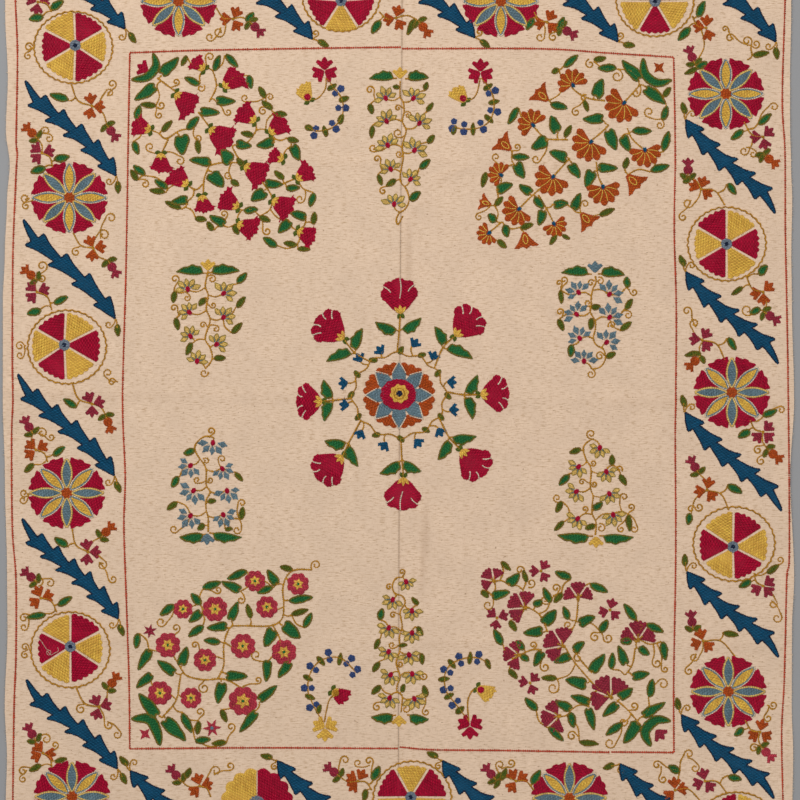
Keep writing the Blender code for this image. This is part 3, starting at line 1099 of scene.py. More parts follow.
def carnation(work, x, y, foot_x, foot_y, length=35.0, point=0.0):
    """A full carnation seen from the side: a calyx, a serrated rim and pale slits in from the rim."""
    foot = at(foot_x, foot_y)
    out = (at(x, y) - foot) / abs(at(x, y) - foot)
    share = np.linspace(0, 1, 36)
    lobes = 1 - 0.12 * (1 - np.abs(np.sin(5 * np.pi * share))) - 0.04 * (np.arange(36) % 2)
    arc = np.radians(112 * (2 * share - 1))
    along, aside = (np.sign(part) * np.abs(part) ** 0.85 for part in (np.cos(arc), np.sin(arc)))
    rim = length * 0.58 + (length * (0.40 + point * 0.3) * along + 19.0j * aside) * lobes
    sides = np.array([0.3 + 2.4j, 0.15 * length + 8.5j, 0.32 * length + 13j])
    outline = np.concatenate([sides.conjugate(), rim, sides[::-1]])
    turn = turn_of(out)
    work.fill(foot + outline * out, "crimson", turn + 80)
    slits = ((7, 0.42), (14, 0.36), (21, 0.36), (28, 0.42))
    if point:
        slits = ((8, 0.44), (17, 0.95), (27, 0.44))
    for number, depth in slits:
        inner = rim[number] + (0.40 * length - rim[number]) * depth
        bowed = (rim[number] + inner) / 2 + 1.2j * (1 if number < 16 else -1)
        slit = foot + np.array([rim[number] * 1.02, bowed, inner]) * out
        work.line(smooth_route(slit), "cream", 1.15, 0.6, 2)
    for lean in (150, 210):
        work.fill(foot + almond(6.5, 4.0, 8) * out * heading(lean), "moss", turn)
    calyx(work, foot, turn, 9.0, 40)


def grow(work, reached, ends):
    """A vine: each end is joined by a bowed twig to the nearest place that the vine has reached."""
    waiting = list(ends)
    while waiting:
        places = np.concatenate(reached)
        distances = [np.abs(places - end).min() for end in waiting]
        end = waiting.pop(int(np.argmin(distances)))
        start = nearest(places, end)
        if abs(end - start) > 0.8:
            bow = 0.17 if (start.real + end.imag) % 2 < 1 else -0.17
            twig = smooth_route([start, start + (end - start) * (0.5 + 1j * bow), end])
            work.line(twig, "gold", 1.55, TWIG_LIFT)
            reached.append(twig)
        else:
            reached.append(np.array([end]))


def leaf_foot(x, y, turn, length, _):
    """The place where a leaf's foot lies, from its row of a table."""
    return at(x, y) - heading(turn) * length / 2


def towards(row, places):
    """The leaf's row, turned end for end where its tip would be nearer to the places than its foot."""
    x, y, turn, length, width = row
    other = (x, y, turn + 180, length, width)
    foot, tip = (np.abs(places - leaf_foot(*way)).min() for way in (row, other))
    return row if foot <= tip else other


def spray(work, stems, leaves, curls=(), feet=()):
    """Stems, and the leaves, curls and flowers' feet that twigs join to them."""
    reached = [route_through(points) for points in stems]
    for route in reached:
        work.line(route, "gold", 1.7, TWIG_LIFT)
    leaves = [towards(row, np.concatenate(reached + [[at(*row[:2]) for row in feet]])) for row in leaves]
    grow(work, reached, [at(*row[:2]) for row in feet] + [leaf_foot(*row) for row in leaves])
    for row in leaves:
        leaf(work, *row)
    places = np.concatenate(reached)
    for row in curls:
        curl(work, *row, nearest(places, at(*row[:2])))


def halved_flower(work, x, y, radius):
    """A round flower with one yellow half and one crimson half, its rim lobed."""
    for start, thread in ((90, "yellow"), (270, "crimson")):
        half = wheel_petal(1.0, radius, start, start + 180, 1.2, 8, 0.09)
        work.fill(at(x, y) + half, thread, start + 30)
    work.fill(at(x, y) + disc(8.5, 14), "slate", 20, 0.35)


# Rosettes of the border: X, Y, turn of the first crimson sector, then the ring's X, Y and two radii.
PINWHEELS = (
    (75.3, 45.4, 60, (73.3, 47.4, 39.5, 36)),
    (64.3, 344.9, 0, (67, 347, 39.5, 37)),
    (70.4, 646.5, 60, (70.4, 649.7, 39.7, 38)),
    (341, 0.8, 90, (341, -4, 39, 35.5)),
    (655, 1.3, 30, (655, 0.5, 39, 36)),
    (726.5, 244, 0, (726.8, 244, 39.3, 37)),
    (732.9, 546.8, 60, (734, 544, 41, 37.3)),
    (737, 822, 0, (737, 822, 38, 30), 0.84),
    (410.8, 797, 30, (412.3, 798, 39.3, 37)),
)
# X, Y, and the thread of the upright petals.
STARS = (
    (69.4, 197.7, "yellow"), (66.8, 493, "steel"), (72, 796.5, "steel"),
    (178.6, 1.3, "yellow"), (500.8, 1.3, "yellow"),
    (725.8, 93.9, "yellow"), (731.8, 392.4, "steel"), (728.3, 691.5, "steel"), (569.5, 798, "steel"),
)
# Slanting leaves of the border: tip's X and Y, stalk's X and Y, pairs of barbs, turn of the small tip
# leaf, and how far round from that leaf the tip's curl lies where it is on the leaf's other side.
SPEARS = (
    (116, 176, 25.5, 81, 5, -80), (115.3, 319, 23.5, 220, 4, -78), (114.3, 476, 18, 374.6, 5, -72),
    (118.4, 619, 22.4, 519, 6, -75), (117.3, 769, 26.5, 680, 5, -56),
    (125, 29, 33, -50, 5, -50), (312.5, 39.5, 214, -48, 5, -20, 85), (475, 38, 376, -48, 5, -30, 85),
    (618, 42, 522, -47, 5, -15, 85), (776, 42, 684, -48, 5, -88),
    (685.7, 119.4, 775, 213, 5, 100), (685.7, 271.7, 778, 363.5, 5, 108), (684.9, 412.3, 781.3, 510.6, 5, 98),
    (686.9, 571.3, 778.3, 656.8, 5, 100), (681.3, 714.5, 773.7, 798, 5, 108),
    (130.4, 770.4, 222, 850, 5, 125), (277.3, 760.4, 370, 848, 5, 160, 85),
    (442.4, 760.4, 532, 848, 5, 150, 85), (619.8, 763.5, 708, 848, 5, 195, 85),
)
# A loose end of thread that lies curled on one of the rosettes.
LOOSE_THREAD = (
    (37.3, 635.7), (42, 642), (47, 649.3), (50.3, 650.5), (51, 653), (49, 655), (46.8, 653.3), (47.3, 650.6),
    (49.5, 653.5), (51.5, 655), (54.5, 653), (58, 651.5), (58.5, 649.5), (57.6, 647.3),
)
# The running lines, as X and Y of points along each.
OUTER_LEFT = ((14, -61), (15.2, 0), (17, 40), (17.2, 76), (16, 143), (17.3, 153), (15.8, 178), (12.8, 255),
              (12.2, 357), (12.8, 400), (11.5, 438), (12.2, 528), (15.8, 579), (15.8, 655), (14, 706),
              (12.8, 800), (13.5, 857))
OUTER_RIGHT = ((785, -60), (784.7, 0), (782, 100), (784.7, 153), (785, 230), (786.5, 306), (788, 400),
               (789, 553), (786.5, 578), (784, 680), (781.4, 732), (782.7, 800), (784, 856))
INNER_LEFT = ((129.6, 53), (128, 143), (127, 204), (125.5, 281), (122.4, 400), (125, 476), (123.7, 527),
              (126.3, 604), (128.8, 680), (129.6, 749))
INNER_RIGHT = ((673.5, 57.4), (675, 153), (674, 230), (676, 306), (675.5, 400), (675, 438), (675.5, 553),
               (673.5, 680), (673.7, 752.7))
INNER_TOP = (((129.6, 53), (204, 50.5), (319, 48.5), (401, 47.4)),
             ((402, 48.9), (540, 49), (604, 53), (673.5, 57.4)))
INNER_BOTTOM = (((129.6, 749), (255, 748), (398, 748.7)),
                ((399.5, 747.2), (433, 750), (500, 750.7), (609.6, 752.5)), ((611, 752.2), (673.7, 752.7)))
OUTER_TOP = ((14.5, -61), (200, -59), (400, -61), (600, -58), (785, -60))
OUTER_BOTTOM = ((13.5, 857), (200, 855), (400, 857.5), (600, 855), (784, 856))
# Corner sprays. Leaves: X, Y, turn, length, width. Tulips side on, fans and cones: X and Y of the foot, turn,
# reach. Roses: X, Y, radius. Curls: X, Y, radius. Stems: X and Y of points along each.
BELL_STEMS = (
    ((157, 78), (165, 84), (176, 92)), ((198, 112), (204, 120), (210, 128)),
    ((232, 147), (238, 158), (245, 165)), ((262, 182), (268, 190), (273, 199)),
    ((276, 187), (290, 181), (297, 178)), ((168, 139), (163, 150), (161, 154)),
    ((150, 130), (158, 133), (166, 139), (179, 131), (189, 129), (194, 128)),
    ((209, 166), (204, 179), (203, 196)), ((187, 185), (196, 190), (203, 184)),
    ((209, 166), (222, 163), (240, 163)), ((214, 74), (216, 87), (209, 102)),
)
BELLS = (
    (204, 69, 140, 16), (224, 87, 40, 24), (176, 94, -40, 26), (255, 121, 145, 22), (150, 130, 160, 20),
    (270, 133, 40, 22), (210, 129, -35, 28), (283, 159, 160, 15.5), (161, 154, -90, 20), (297, 179, 35, 20),
    (187, 185, 140, 22), (245, 166, -30, 26), (238, 207, 150, 22), (273, 200, -30, 24), (202, 196, -80, 18),
    (238, 224, -20, 22), (298, 231, -25, 20),
)
BELL_LEAVES = (
    (184, 61, 68, 12, 5), (217, 63, 65, 17, 7), (232, 61, -40, 18, 7), (250, 82, -70, 14, 7),
    (262, 92, -52, 13, 6), (192, 81, -20, 17, 7), (226, 101, 5, 20, 9), (148, 105, 0, 16, 6),
    (138, 112, 82, 15, 7), (210, 112, 3, 20, 9), (267, 105, -45, 14, 6), (281, 114, -12, 13, 6),
    (193, 123, 40, 18, 8), (167, 126, 40, 15, 6), (182, 145, -75, 20, 15), (198, 147, -75, 14, 6),
    (247, 134, -20, 13, 6), (244, 145, 0, 16, 9), (265, 144, 5, 18, 10), (293, 140, -20, 12, 6),
    (296, 153, -55, 17, 10), (136, 148, -62, 14, 7), (200, 161, 0, 22, 9), (226, 156, -40, 16, 13),
    (240, 162, -40, 10, 6), (279, 175, -48, 13, 6), (274, 184, 5, 18, 9), (217, 180, -60, 19, 14),
    (139, 170, -45, 15, 7), (134, 175, -50, 13, 6), (161, 184, -38, 16, 7), (157, 191, -12, 16, 6),
    (179, 201, 3, 18, 9), (173, 205, -28, 18, 6), (235, 183, -45, 10, 6), (258, 196, 45, 17, 12),
    (293, 188, -5, 14, 7), (312, 200, 80, 15, 7), (251, 210, 0, 15, 7), (217, 220, -38, 18, 9),
    (201, 219, -15, 12, 6), (210, 226, -48, 11, 6), (265, 219, -32, 12, 6), (298, 215, -8, 17, 9),
    (284, 227, 55, 17, 10), (314, 218, 90, 13, 6), (236, 230, -50, 11, 6), (270, 242, -25, 17, 8),
    (290, 244, -5, 14, 6), (304, 249, 5, 13, 5), (170, 66, 50, 25, 11), (145, 93, 28, 26, 11),
)
BELL_CURLS = (
    (210, 57, 4), (176, 82, 3.5), (201, 88, 3.5), (161, 105, 4), (159, 115, 3.5), (150, 147, 4),
    (180, 161, 4), (228, 112, 3.5), (263, 111, 4), (245, 98, 3.5), (270, 97, 3), (300, 199, 4),
    (267, 231, 4), (224, 214, 3.5), (228, 175, 3.5), (145, 184, 3.5), (198, 138, 3.5),
)
FAN_STEMS = (
    ((572, 88), (579, 94), (590, 99), (605, 101)),
    ((533, 126), (539, 133), (547, 139), (568, 140)),
    ((591, 141), (601, 133), (609, 125)),
    ((627, 128), (632, 139), (644, 150)),
    ((553, 177), (563, 166), (570, 158)),
    ((596, 162), (598, 176), (603, 187)),
    ((520, 208), (533, 195), (543, 187)),
    ((538, 195), (548, 212), (554, 224)),
    ((489, 233), (502, 222)),
    ((624, 103), (640, 85)),
)
FANS = (
    (573, 85, 110, 17), (624, 103, -135, 21), (533, 125, 130, 17), (591, 142, -130, 21), (645, 150, -80, 18),
    (553, 177, -125, 20), (501, 175, 150, 14), (603, 187, -85, 19), (519, 209, -140, 18), (554, 224, -60, 14),
    (489, 233, -150, 13),
)
CONES = (
    (548, 101, 138, 22), (511, 150, 140, 22), (627, 175, -45, 24), (491, 205, 160, 16), (581, 213, -50, 22),
    (524, 232, -80, 22),
)
FAN_LEAVES = (
    (571, 61, 35, 19, 7), (600, 59, 18, 13, 6), (607, 68, -5, 19, 8), (555, 71, 15, 8, 6),
    (599, 88, 60, 20, 12), (559, 106, -20, 18, 8), (586, 106, -65, 12, 5), (513, 116, 55, 20, 7),
    (554, 124, -60, 18, 11), (568, 131, 68, 14, 6), (593, 119, -5, 21, 10), (539, 144, 20, 18, 12),
    (558, 155, -12, 19, 11), (612, 140, -60, 22, 12), (626, 144, -55, 17, 10), (642, 131, 5, 20, 8),
    (665, 113, 65, 15, 7), (666, 141, 80, 21, 8), (660, 168, 22, 20, 8), (521, 157, -8, 18, 7),
    (520, 171, -50, 17, 11), (575, 171, -65, 17, 10), (589, 179, 60, 18, 11), (608, 168, 5, 20, 9),
    (626, 163, 80, 12, 6), (505, 187, 12, 17, 10), (525, 189, -45, 15, 9), (484, 180, 82, 16, 6),
    (539, 203, -60, 15, 8), (561, 204, 0, 15, 9), (577, 201, 60, 18, 9), (607, 212, 18, 17, 6),
    (492, 218, -35, 11, 8), (499, 201, 40, 12, 6), (541, 218, 65, 16, 9), (506, 231, -68, 13, 8),
    (527, 226, 12, 14, 6), (553, 240, 50, 12, 5), (566, 237, -20, 9, 4), (502, 244, -35, 12, 6),
    (667, 92, 45, 12, 6), (631, 70, -52, 27, 11), (655, 96, -43, 26, 11),
)
FAN_CURLS = (
    (590, 64, 4.5), (617, 76, 5), (636, 93, 3.5), (649, 112, 4.5), (660, 125, 3.5), (576, 112, 4),
    (536, 159, 4), (517, 147, 3.5), (496, 157, 3.5), (585, 204, 3.5), (479, 217, 3.5), (584, 98, 3.5),
)
ROSE_STEMS = (
    ((162, 718), (176, 701), (180, 681), (182, 673), (189, 677), (204, 680), (221, 679), (231, 682),
     (241, 688)),
    ((218, 679), (224, 665), (224, 645), (230, 628), (240, 626), (270, 626), (282, 619), (284, 604),
     (283, 589), (287, 576), (296, 570), (312, 570)),
    ((184, 673), (176, 660), (172, 652)), ((273, 626), (279, 637), (281, 645)), ((198, 604), (190, 607)),
)
ROSES = (
    (255, 581, 10.5), (298, 584, 11), (183, 609, 9.7), (215, 609, 12.5), (267, 607, 11), (168, 645, 12.5),
    (243, 646, 12.5), (284, 652, 12.5), (205, 660, 11.5), (160, 693, 12), (191, 698, 10.5), (243, 701, 14.5),
)
ROSE_LEAVES = (
    (237, 575, 18, 22, 8), (212, 585, 25, 20, 8), (231, 586, -30, 21, 9), (272, 577, -50, 18, 9),
    (286, 568, -5, 13, 6), (265, 590, 15, 17, 7), (301, 599, 5, 25, 8), (196, 599, -40, 15, 8),
    (167, 610, 30, 18, 8), (195, 617, 32, 16, 9), (234, 611, 75, 20, 9), (249, 611, -80, 15, 6),
    (300, 612, 22, 18, 6), (308, 620, 70, 17, 7), (217, 627, 0, 21, 9), (196, 631, 42, 19, 8),
    (292, 631, -30, 22, 13), (269, 638, 55, 20, 12), (212, 641, 0, 17, 7), (137, 641, 75, 16, 7),
    (144, 660, 65, 24, 9), (184, 656, 80, 20, 10), (166, 667, -30, 22, 10), (267, 671, 80, 22, 9),
    (284, 670, 60, 20, 9), (237, 676, -8, 22, 10), (144, 681, 48, 21, 9), (220, 693, 85, 22, 11),
    (268, 693, 45, 24, 9), (187, 723, -68, 22, 8), (198, 728, 90, 14, 6), (224, 716, -60, 14, 6),
    (248, 722, 55, 27, 9), (203, 740, 0, 16, 7), (219, 743, 0, 15, 6), (148, 705, -45, 30, 12),
    (175, 730, -50, 31, 13),
)
ROSE_CURLS = (
    (218, 590, 3.5), (161, 622, 4.5), (176, 628, 4), (195, 645, 3.5), (241, 600, 3.5), (256, 655, 4.5),
    (204, 688, 5), (200, 712, 4), (231, 727, 4), (316, 565, 4), (258, 680, 3.5),
)
MALLOW_STEMS = (
    ((641, 725), (628, 710), (617, 700)),
    ((612, 697), (600, 690), (590, 680), (573, 660), (566, 648)),
    ((576, 653), (582, 662), (591, 672)),
    ((548, 632), (540, 615), (528, 607)),
    ((578, 600), (576, 620), (571, 632)),
    ((635, 648), (632, 665), (625, 675)),
    ((520, 655), (532, 650), (542, 650)),
)
MALLOWS = (
    (494, 581, 135, 14), (525, 608, 150, 18), (578, 598, 90, 16), (563, 646, 155, 20), (638, 640, 90, 19),
    (519, 655, 175, 16), (611, 697, 125, 22), (559, 716, 190, 18),
)
MALLOW_LEAVES = (
    (506, 566, -38, 13, 5), (514, 579, 55, 16, 10), (525, 576, 100, 13, 5), (485, 594, -55, 10, 6),
    (501, 594, 8, 19, 9), (547, 595, -70, 17, 7), (558, 598, 55, 13, 6), (563, 575, -28, 18, 8),
    (599, 588, -30, 20, 8), (538, 603, 50, 10, 8), (550, 617, 60, 19, 12), (566, 613, -60, 14, 7),
    (587, 620, 15, 18, 10), (630, 612, -48, 21, 8), (604, 626, 70, 15, 8), (655, 628, -32, 19, 8),
    (513, 626, -65, 13, 6), (533, 632, 0, 20, 10), (498, 637, -55, 18, 8), (520, 645, -40, 12, 7),
    (579, 646, 30, 14, 9), (525, 658, -50, 10, 7), (538, 659, 70, 17, 9), (562, 659, 30, 18, 9),
    (622, 655, -62, 21, 9), (612, 661, -88, 17, 7), (598, 663, 60, 23, 11), (626, 641, 20, 12, 8),
    (644, 651, -25, 13, 8), (664, 651, -75, 19, 8), (513, 674, -55, 13, 6), (549, 678, -8, 16, 6),
    (576, 682, -5, 22, 12), (641, 675, 5, 18, 9), (626, 693, 45, 17, 10), (651, 688, 75, 19, 8),
    (580, 699, -12, 20, 9), (563, 705, -35, 18, 9), (531, 704, -52, 18, 8), (591, 719, -80, 23, 9),
    (572, 720, -70, 16, 8), (610, 710, 48, 20, 9), (654, 709, 35, 27, 9), (614, 729, 42, 21, 8),
    (556, 734, -38, 21, 7), (589, 743, -10, 20, 6), (631, 733, 48, 26, 12),
)
MALLOW_CURLS = (
    (488, 605, 4.5), (520, 570, 4), (531, 583, 4.5), (556, 588, 4), (545, 600, 3.5), (568, 625, 3.5),
    (595, 637, 4.5), (608, 638, 4.5), (533, 645, 3.5), (578, 658, 4.5), (545, 667, 4.5), (553, 688, 5),
    (657, 663, 4.5), (665, 669, 3.5), (663, 684, 5), (623, 722, 4), (634, 706, 4), (572, 736, 4.5),
    (610, 743, 5),
)
# Small sprays between the corners and the middle: stems, blooms, leaves, curls, then the two leaves at
# the foot.
YELLOW_UPPER = (
    (((208, 271), (205, 286), (208, 295), (206, 309), (210, 320), (205, 338), (210, 348), (212, 359),
     (205, 369)),),
    ((188, 290, 100, 13), (223, 294, 45, 14), (190, 313, 135, 12), (223, 318, 50, 13), (191, 337, 120, 12),
     (216, 345, 45, 13), (197, 362, 80, 12)),
    ((174, 297, 90, 12, 6), (242, 278, 55, 14, 7), (202, 302, 60, 10, 6), (241, 302, 45, 14, 6),
     (177, 324, 95, 13, 6), (237, 328, 40, 15, 6), (189, 349, 60, 14, 6), (220, 358, 10, 12, 6)),
    ((187, 298, 3), (213, 305, 3), (216, 329, 3), (203, 325, 3), (212, 279, 3.5), (175, 279, 4),
     (174, 308, 3.5), (204, 373, 3.7)),
    (((207, 273), (192, 269), (176, 272)), ((208, 273), (224, 269), (240, 271))),
)
STEEL_UPPER = (
    (((595, 276), (596, 282), (593, 288), (591, 297), (591, 305), (590, 312), (595, 321), (595, 330),
     (593, 338), (596, 345), (603, 349), (605, 354), (605, 360), (600, 367), (592, 369)),),
    ((579, 293, 125, 14), (609, 295, 50, 15), (577, 315, 125, 14), (609, 318, 55, 15), (580, 339, 115, 14),
     (606, 343, 50, 15), (584, 362, 90, 14)),
    ((561, 297, 90, 14, 5), (627, 282, 85, 11, 7), (596, 307, 25, 9, 6), (629, 304, 50, 13, 6),
     (561, 325, 105, 13, 6), (591, 324, 75, 12, 6), (626, 326, 45, 14, 6), (571, 351, 75, 13, 7),
     (611, 355, 15, 11, 6)),
    ((591, 283, 3.5), (600, 281, 3.5), (588, 303, 3), (600, 356, 4), (612, 325, 3.5), (564, 280, 3.5),
     (559, 283, 3), (634, 292, 3.5), (560, 312, 3.5), (628, 315, 3.5), (591, 374, 3.7)),
    (((592, 274), (576, 270), (561, 273)), ((598, 274), (612, 272), (625, 275))),
)
STEEL_LOWER = (
    (((213, 437), (206, 436), (200, 439), (195, 445), (195, 451), (199, 458), (203, 463), (206, 470),
     (206, 485), (210, 492), (206, 500), (206, 510), (208, 518), (208, 532)),),
    ((213, 442, -95, 15), (191, 465, -130, 14), (222, 468, -60, 13), (194, 490, -125, 15),
     (227, 490, -80, 14), (191, 515, -125, 15), (223, 514, -65, 14)),
    ((189, 452, 10, 12, 7), (175, 482, 50, 13, 7), (239, 477, -55, 12, 5), (172, 506, 45, 13, 6),
     (212, 501, 20, 9, 5), (242, 513, 90, 13, 6), (201, 527, 30, 9, 6), (229, 529, 0, 8, 4)),
    ((222, 459, 3.5), (197, 480, 3), (206, 461, 3), (210, 480, 3), (174, 529, 3.8), (237, 530, 3.8),
     (242, 503, 3.5), (211, 431, 3.7)),
    (((206, 534), (192, 538), (179, 537)), ((209, 533), (226, 537), (242, 537))),
)
YELLOW_LOWER = (
    (((592, 439), (586, 443), (583, 449), (586, 460), (590, 466), (591, 473), (590, 485), (591, 491),
     (593, 496), (592, 505), (592, 514), (596, 523), (595, 535)),),
    ((600, 447, -110, 12), (579, 466, -125, 12), (606, 471, -70, 12), (577, 491, -140, 12),
     (609, 493, -60, 12), (578, 518, -120, 12), (613, 514, -80, 13)),
    ((575, 451, 10, 12, 6), (612, 460, 100, 11, 6), (564, 480, 55, 15, 7), (623, 480, -65, 13, 6),
     (559, 507, 55, 13, 6), (598, 506, 50, 12, 7), (629, 523, 90, 17, 6), (559, 526, 40, 14, 5),
     (590, 527, 30, 11, 6)),
    ((582, 482, 3), (585, 509, 3), (593, 463, 3), (594, 484, 3), (601, 528, 4), (557, 498, 3.5),
     (624, 497, 3.5), (619, 469, 3.5), (631, 507, 3.5), (621, 529, 3.5), (634, 529, 3.5), (591, 434, 3.8)),
    (((593, 536), (575, 538), (557, 535)), ((599, 536), (616, 538), (634, 537))),
)
TALL_UPPER = (
    (((400, 81), (400, 97), (403, 102), (404, 112), (402, 121), (406, 130), (404, 138), (402, 147),
     (403, 158), (400, 175), (401, 183), (406, 189), (409, 200), (405, 209), (399, 213), (396, 220),
     (398, 225), (403, 216)),),
    ((386, 99, 110, 13), (413, 99, 60, 13), (387, 122, 115, 13), (419, 124, 60, 13), (388, 146, 115, 13),
     (414, 151, 60, 14), (391, 170, 115, 12), (410, 180, 55, 12), (394, 205, 80, 13)),
    ((396, 87, 10, 7, 5), (426, 86, 85, 9, 5), (371, 109, 95, 11, 6), (430, 107, 60, 11, 5),
     (372, 132, 90, 13, 5), (431, 139, 40, 11, 6), (425, 164, 35, 14, 7), (380, 180, 115, 12, 5),
     (391, 183, 25, 12, 6), (415, 196, 30, 14, 8)),
    ((398, 108, 3), (408, 115, 3), (398, 133, 4), (399, 154, 3), (370, 90, 4), (373, 148, 3.5),
     (377, 159, 3.5), (383, 191, 3.5)),
    (((397, 78), (383, 76), (369, 79)), ((405, 79), (417, 76), (429, 78))),
)
TALL_LOWER = (
    (((403, 577), (396, 578), (392, 586), (395, 594), (402, 596), (405, 603), (400, 612), (402, 627),
     (399, 638), (400, 649), (396, 663), (400, 677), (397, 685), (397, 692), (402, 696), (401, 712)),),
    ((406, 581, -75, 10), (393, 599, -115, 12), (412, 610, -90, 11), (389, 627, -110, 12),
     (412, 632, -90, 12), (389, 651, -115, 11), (409, 654, -75, 12), (391, 674, -120, 12),
     (412, 673, -80, 12), (390, 697, -110, 12), (414, 698, -65, 13)),
    ((415, 601, -55, 10, 5), (381, 614, 65, 12, 7), (420, 631, -50, 11, 5), (377, 644, 60, 12, 5),
     (403, 645, 0, 9, 4), (422, 659, -80, 12, 5), (376, 667, 65, 12, 6), (403, 688, 60, 9, 5),
     (376, 690, 50, 13, 6), (425, 691, -85, 12, 6)),
    ((389, 587, 3), (393, 615, 3), (392, 645, 3), (400, 664, 3), (424, 676, 3.5), (377, 707, 4),
     (426, 712, 3.5), (406, 709, 4), (402, 572, 3)),
    (((396, 715), (384, 719), (371, 717)), ((407, 715), (418, 719), (429, 719))),
)
# Threads of the blooms and of the tulip at the foot, the spray, the tulip's X, Y, turn and size.
SPRAYS = (
    ("primrose", "yellow", YELLOW_UPPER, 208, 272, 90, 11),
    ("steel", "steel", STEEL_UPPER, 595, 274, 90, 11), ("steel", "steel", STEEL_LOWER, 207, 532, -90, 11),
    ("primrose", "yellow", YELLOW_LOWER, 596, 535, -90, 11),
)
TALL_SPRAYS = (
    ("primrose", "yellow", TALL_UPPER, 400, 80, 90, 11),
    ("primrose", "yellow", TALL_LOWER, 399, 714, -90, 11),
)
# Curved sprigs near the ends of the seam: the small blue flowers, and leaves between them.
SPRIG_FLOWERS = (
    (338, 91), (342, 108), (334, 126), (315, 132), (492, 92), (494, 111), (482, 126), (464, 128),
    (453, 125), (329, 656), (349, 661), (355, 672), (313, 668), (308, 688), (313, 706), (478, 658),
    (460, 660), (447, 671), (447, 689), (455, 703),
)
SPRIG_LEAVES = (
    (332, 87, 40, 11, 5), (344, 99, 30, 11, 6), (341, 119, 60, 11, 6), (325, 131, 100, 12, 5),
    (309, 128, -40, 9, 6), (488, 87, 40, 11, 5), (494, 102, 20, 12, 5), (489, 119, -50, 12, 5),
    (473, 129, 85, 13, 4.5), (454, 130, 80, 10, 5), (321, 661, -55, 12, 5), (340, 659, 85, 13, 4.5),
    (308, 678, -20, 11, 5), (310, 697, -15, 11, 5), (319, 709, 60, 10, 5), (470, 658, 88, 13, 4.5),
    (452, 664, -45, 12, 5), (444, 679, 15, 12, 5), (449, 696, 20, 11, 5), (460, 710, 50, 11, 6),
    (488, 664, -60, 11, 5),
)
SPRIG_STEMS = (
    ((326, 78), (325, 89), (318, 98), (310, 100)),
    ((327, 78), (333, 87), (342, 100), (342, 116), (333, 127), (318, 131), (307, 127)),
    ((480, 78), (477, 92), (472, 99), (464, 100)),
    ((481, 78), (489, 88), (494, 102), (491, 118), (481, 127), (464, 129), (452, 126)),
    ((336, 694), (329, 700), (324, 722)),
    ((323, 722), (314, 706), (308, 690), (311, 672), (322, 660), (340, 658), (356, 672)),
    ((469, 722), (468, 701), (474, 689), (480, 691)),
    ((468, 720), (456, 704), (446, 690), (446, 671), (459, 660), (478, 658), (491, 666)),
)
# The medallion's tulips and small leaves stand on its vine. Each carnation's row: X and Y where its two
# leaves join the stem, of the tips of both leaves, of the flower's middle and of its calyx, and its
# length and point.
MEDALLION_TULIPS = (
    (382, 351), (413, 344), (434, 358), (450, 381), (452, 411), (440, 430), (416, 442), (386, 445),
    (360, 432), (346, 406), (345, 382), (359, 360),
)
MEDALLION_LEAVES = (
    (373, 360), (422, 355), (438, 373), (441, 417), (426, 430), (376, 435), (358, 417), (357, 374),
    (351, 395), (401, 350), (401, 439), (448, 396),
)
CARNATIONS = (
    (399.4, 331, 375, 322, 421.5, 317.5, 399, 290, 400.5, 313, 33, 0.28),
    (443, 348, 473, 359, 434.3, 326.3, 466, 324, 455.5, 335.5),
    (463.7, 395, 472.6, 419.5, 477.5, 374.4, 498, 393.5, 481, 394.5, 29),
    (449, 437.6, 437.7, 460, 476.7, 436, 474, 463, 461.5, 450.5),
    (401.7, 460, 379.5, 473.6, 421.6, 471.3, 402.5, 500, 403.5, 478, 31, 0.25),
    (348.4, 443, 324.4, 440.7, 358.4, 466.7, 329, 468, 342.5, 456.5),
    (333.6, 400, 323.6, 379.5, 324.4, 421.5, 306, 401.5, 321.5, 401.5, 26),
    (355, 352.7, 362.7, 328.2, 326, 361.8, 329, 327.5, 343.5, 338.5),
)
# Flowers of the border sprigs: X, Y, thread, turns of the three tulips, X and Y where the stem leaves
# the rosette.
BORDER_FLOWERS = (
    (92, 106, "rust", (100, -6, -105), 71, 84), (93, 248, "rust", (112, 8, -95), 73, 233),
    (92, 404, "plum", (115, 13, -90), 72, 383), (88, 552, "plum", (100, 0, -98), 72, 529),
    (99, 707, "plum", (117, 17, -107), 76, 688), (38, 2, "plum", (160, 20, -100), 52, 12),
    (42, 153, "plum", (142, 14, -136), 53, 168), (37, 292, "plum", (135, 20, -135), 52, 310),
    (36, 450, "rust", (135, 30, -145), 48, 462), (41, 598, "rust", (115, 16, -144), 57, 612),
    (43, 753, "rust", (128, -8, -156), 52, 768), (763, 137, "plum", (41, 180, -77), 744, 122),
    (763, 292, "rust", (42, 190, -86), 746, 276), (763, 432, "plum", (45, 222, -42), 750, 420),
    (763, 586, "plum", (34, 207, -46), 754, 573), (760, 732, "rust", (77, 210, -33), 745, 720),
    (701, 189, "rust", (72, 156, -35), 725, 205), (702, 340, "plum", (58, 173, -54), 725, 360),
    (707, 490, "rust", (79, 190, -53), 729, 510), (703, 641, "rust", (107, 200, -45), 735, 656),
    (705, 781, "plum", (104, 200, -50), 727, 793), (200, 786, "rust", (108, 14, -136), 211, 797),
    (358, 781, "rust", (150, 60, -132), 372, 790), (516, 781, "rust", (120, 31, -125), 534, 790),
    (675, 790, "rust", (95, 10, -137), 700, 800), (233, 19, "rust", (65, 180, -60), 216, 8),
    (396, 18, "rust", (75, 190, -60), 379, 12), (547, 22, "rust", (60, 190, -45), 534, 12),
    (706, 28, "rust", (85, 170, -70), 692, 16),
)
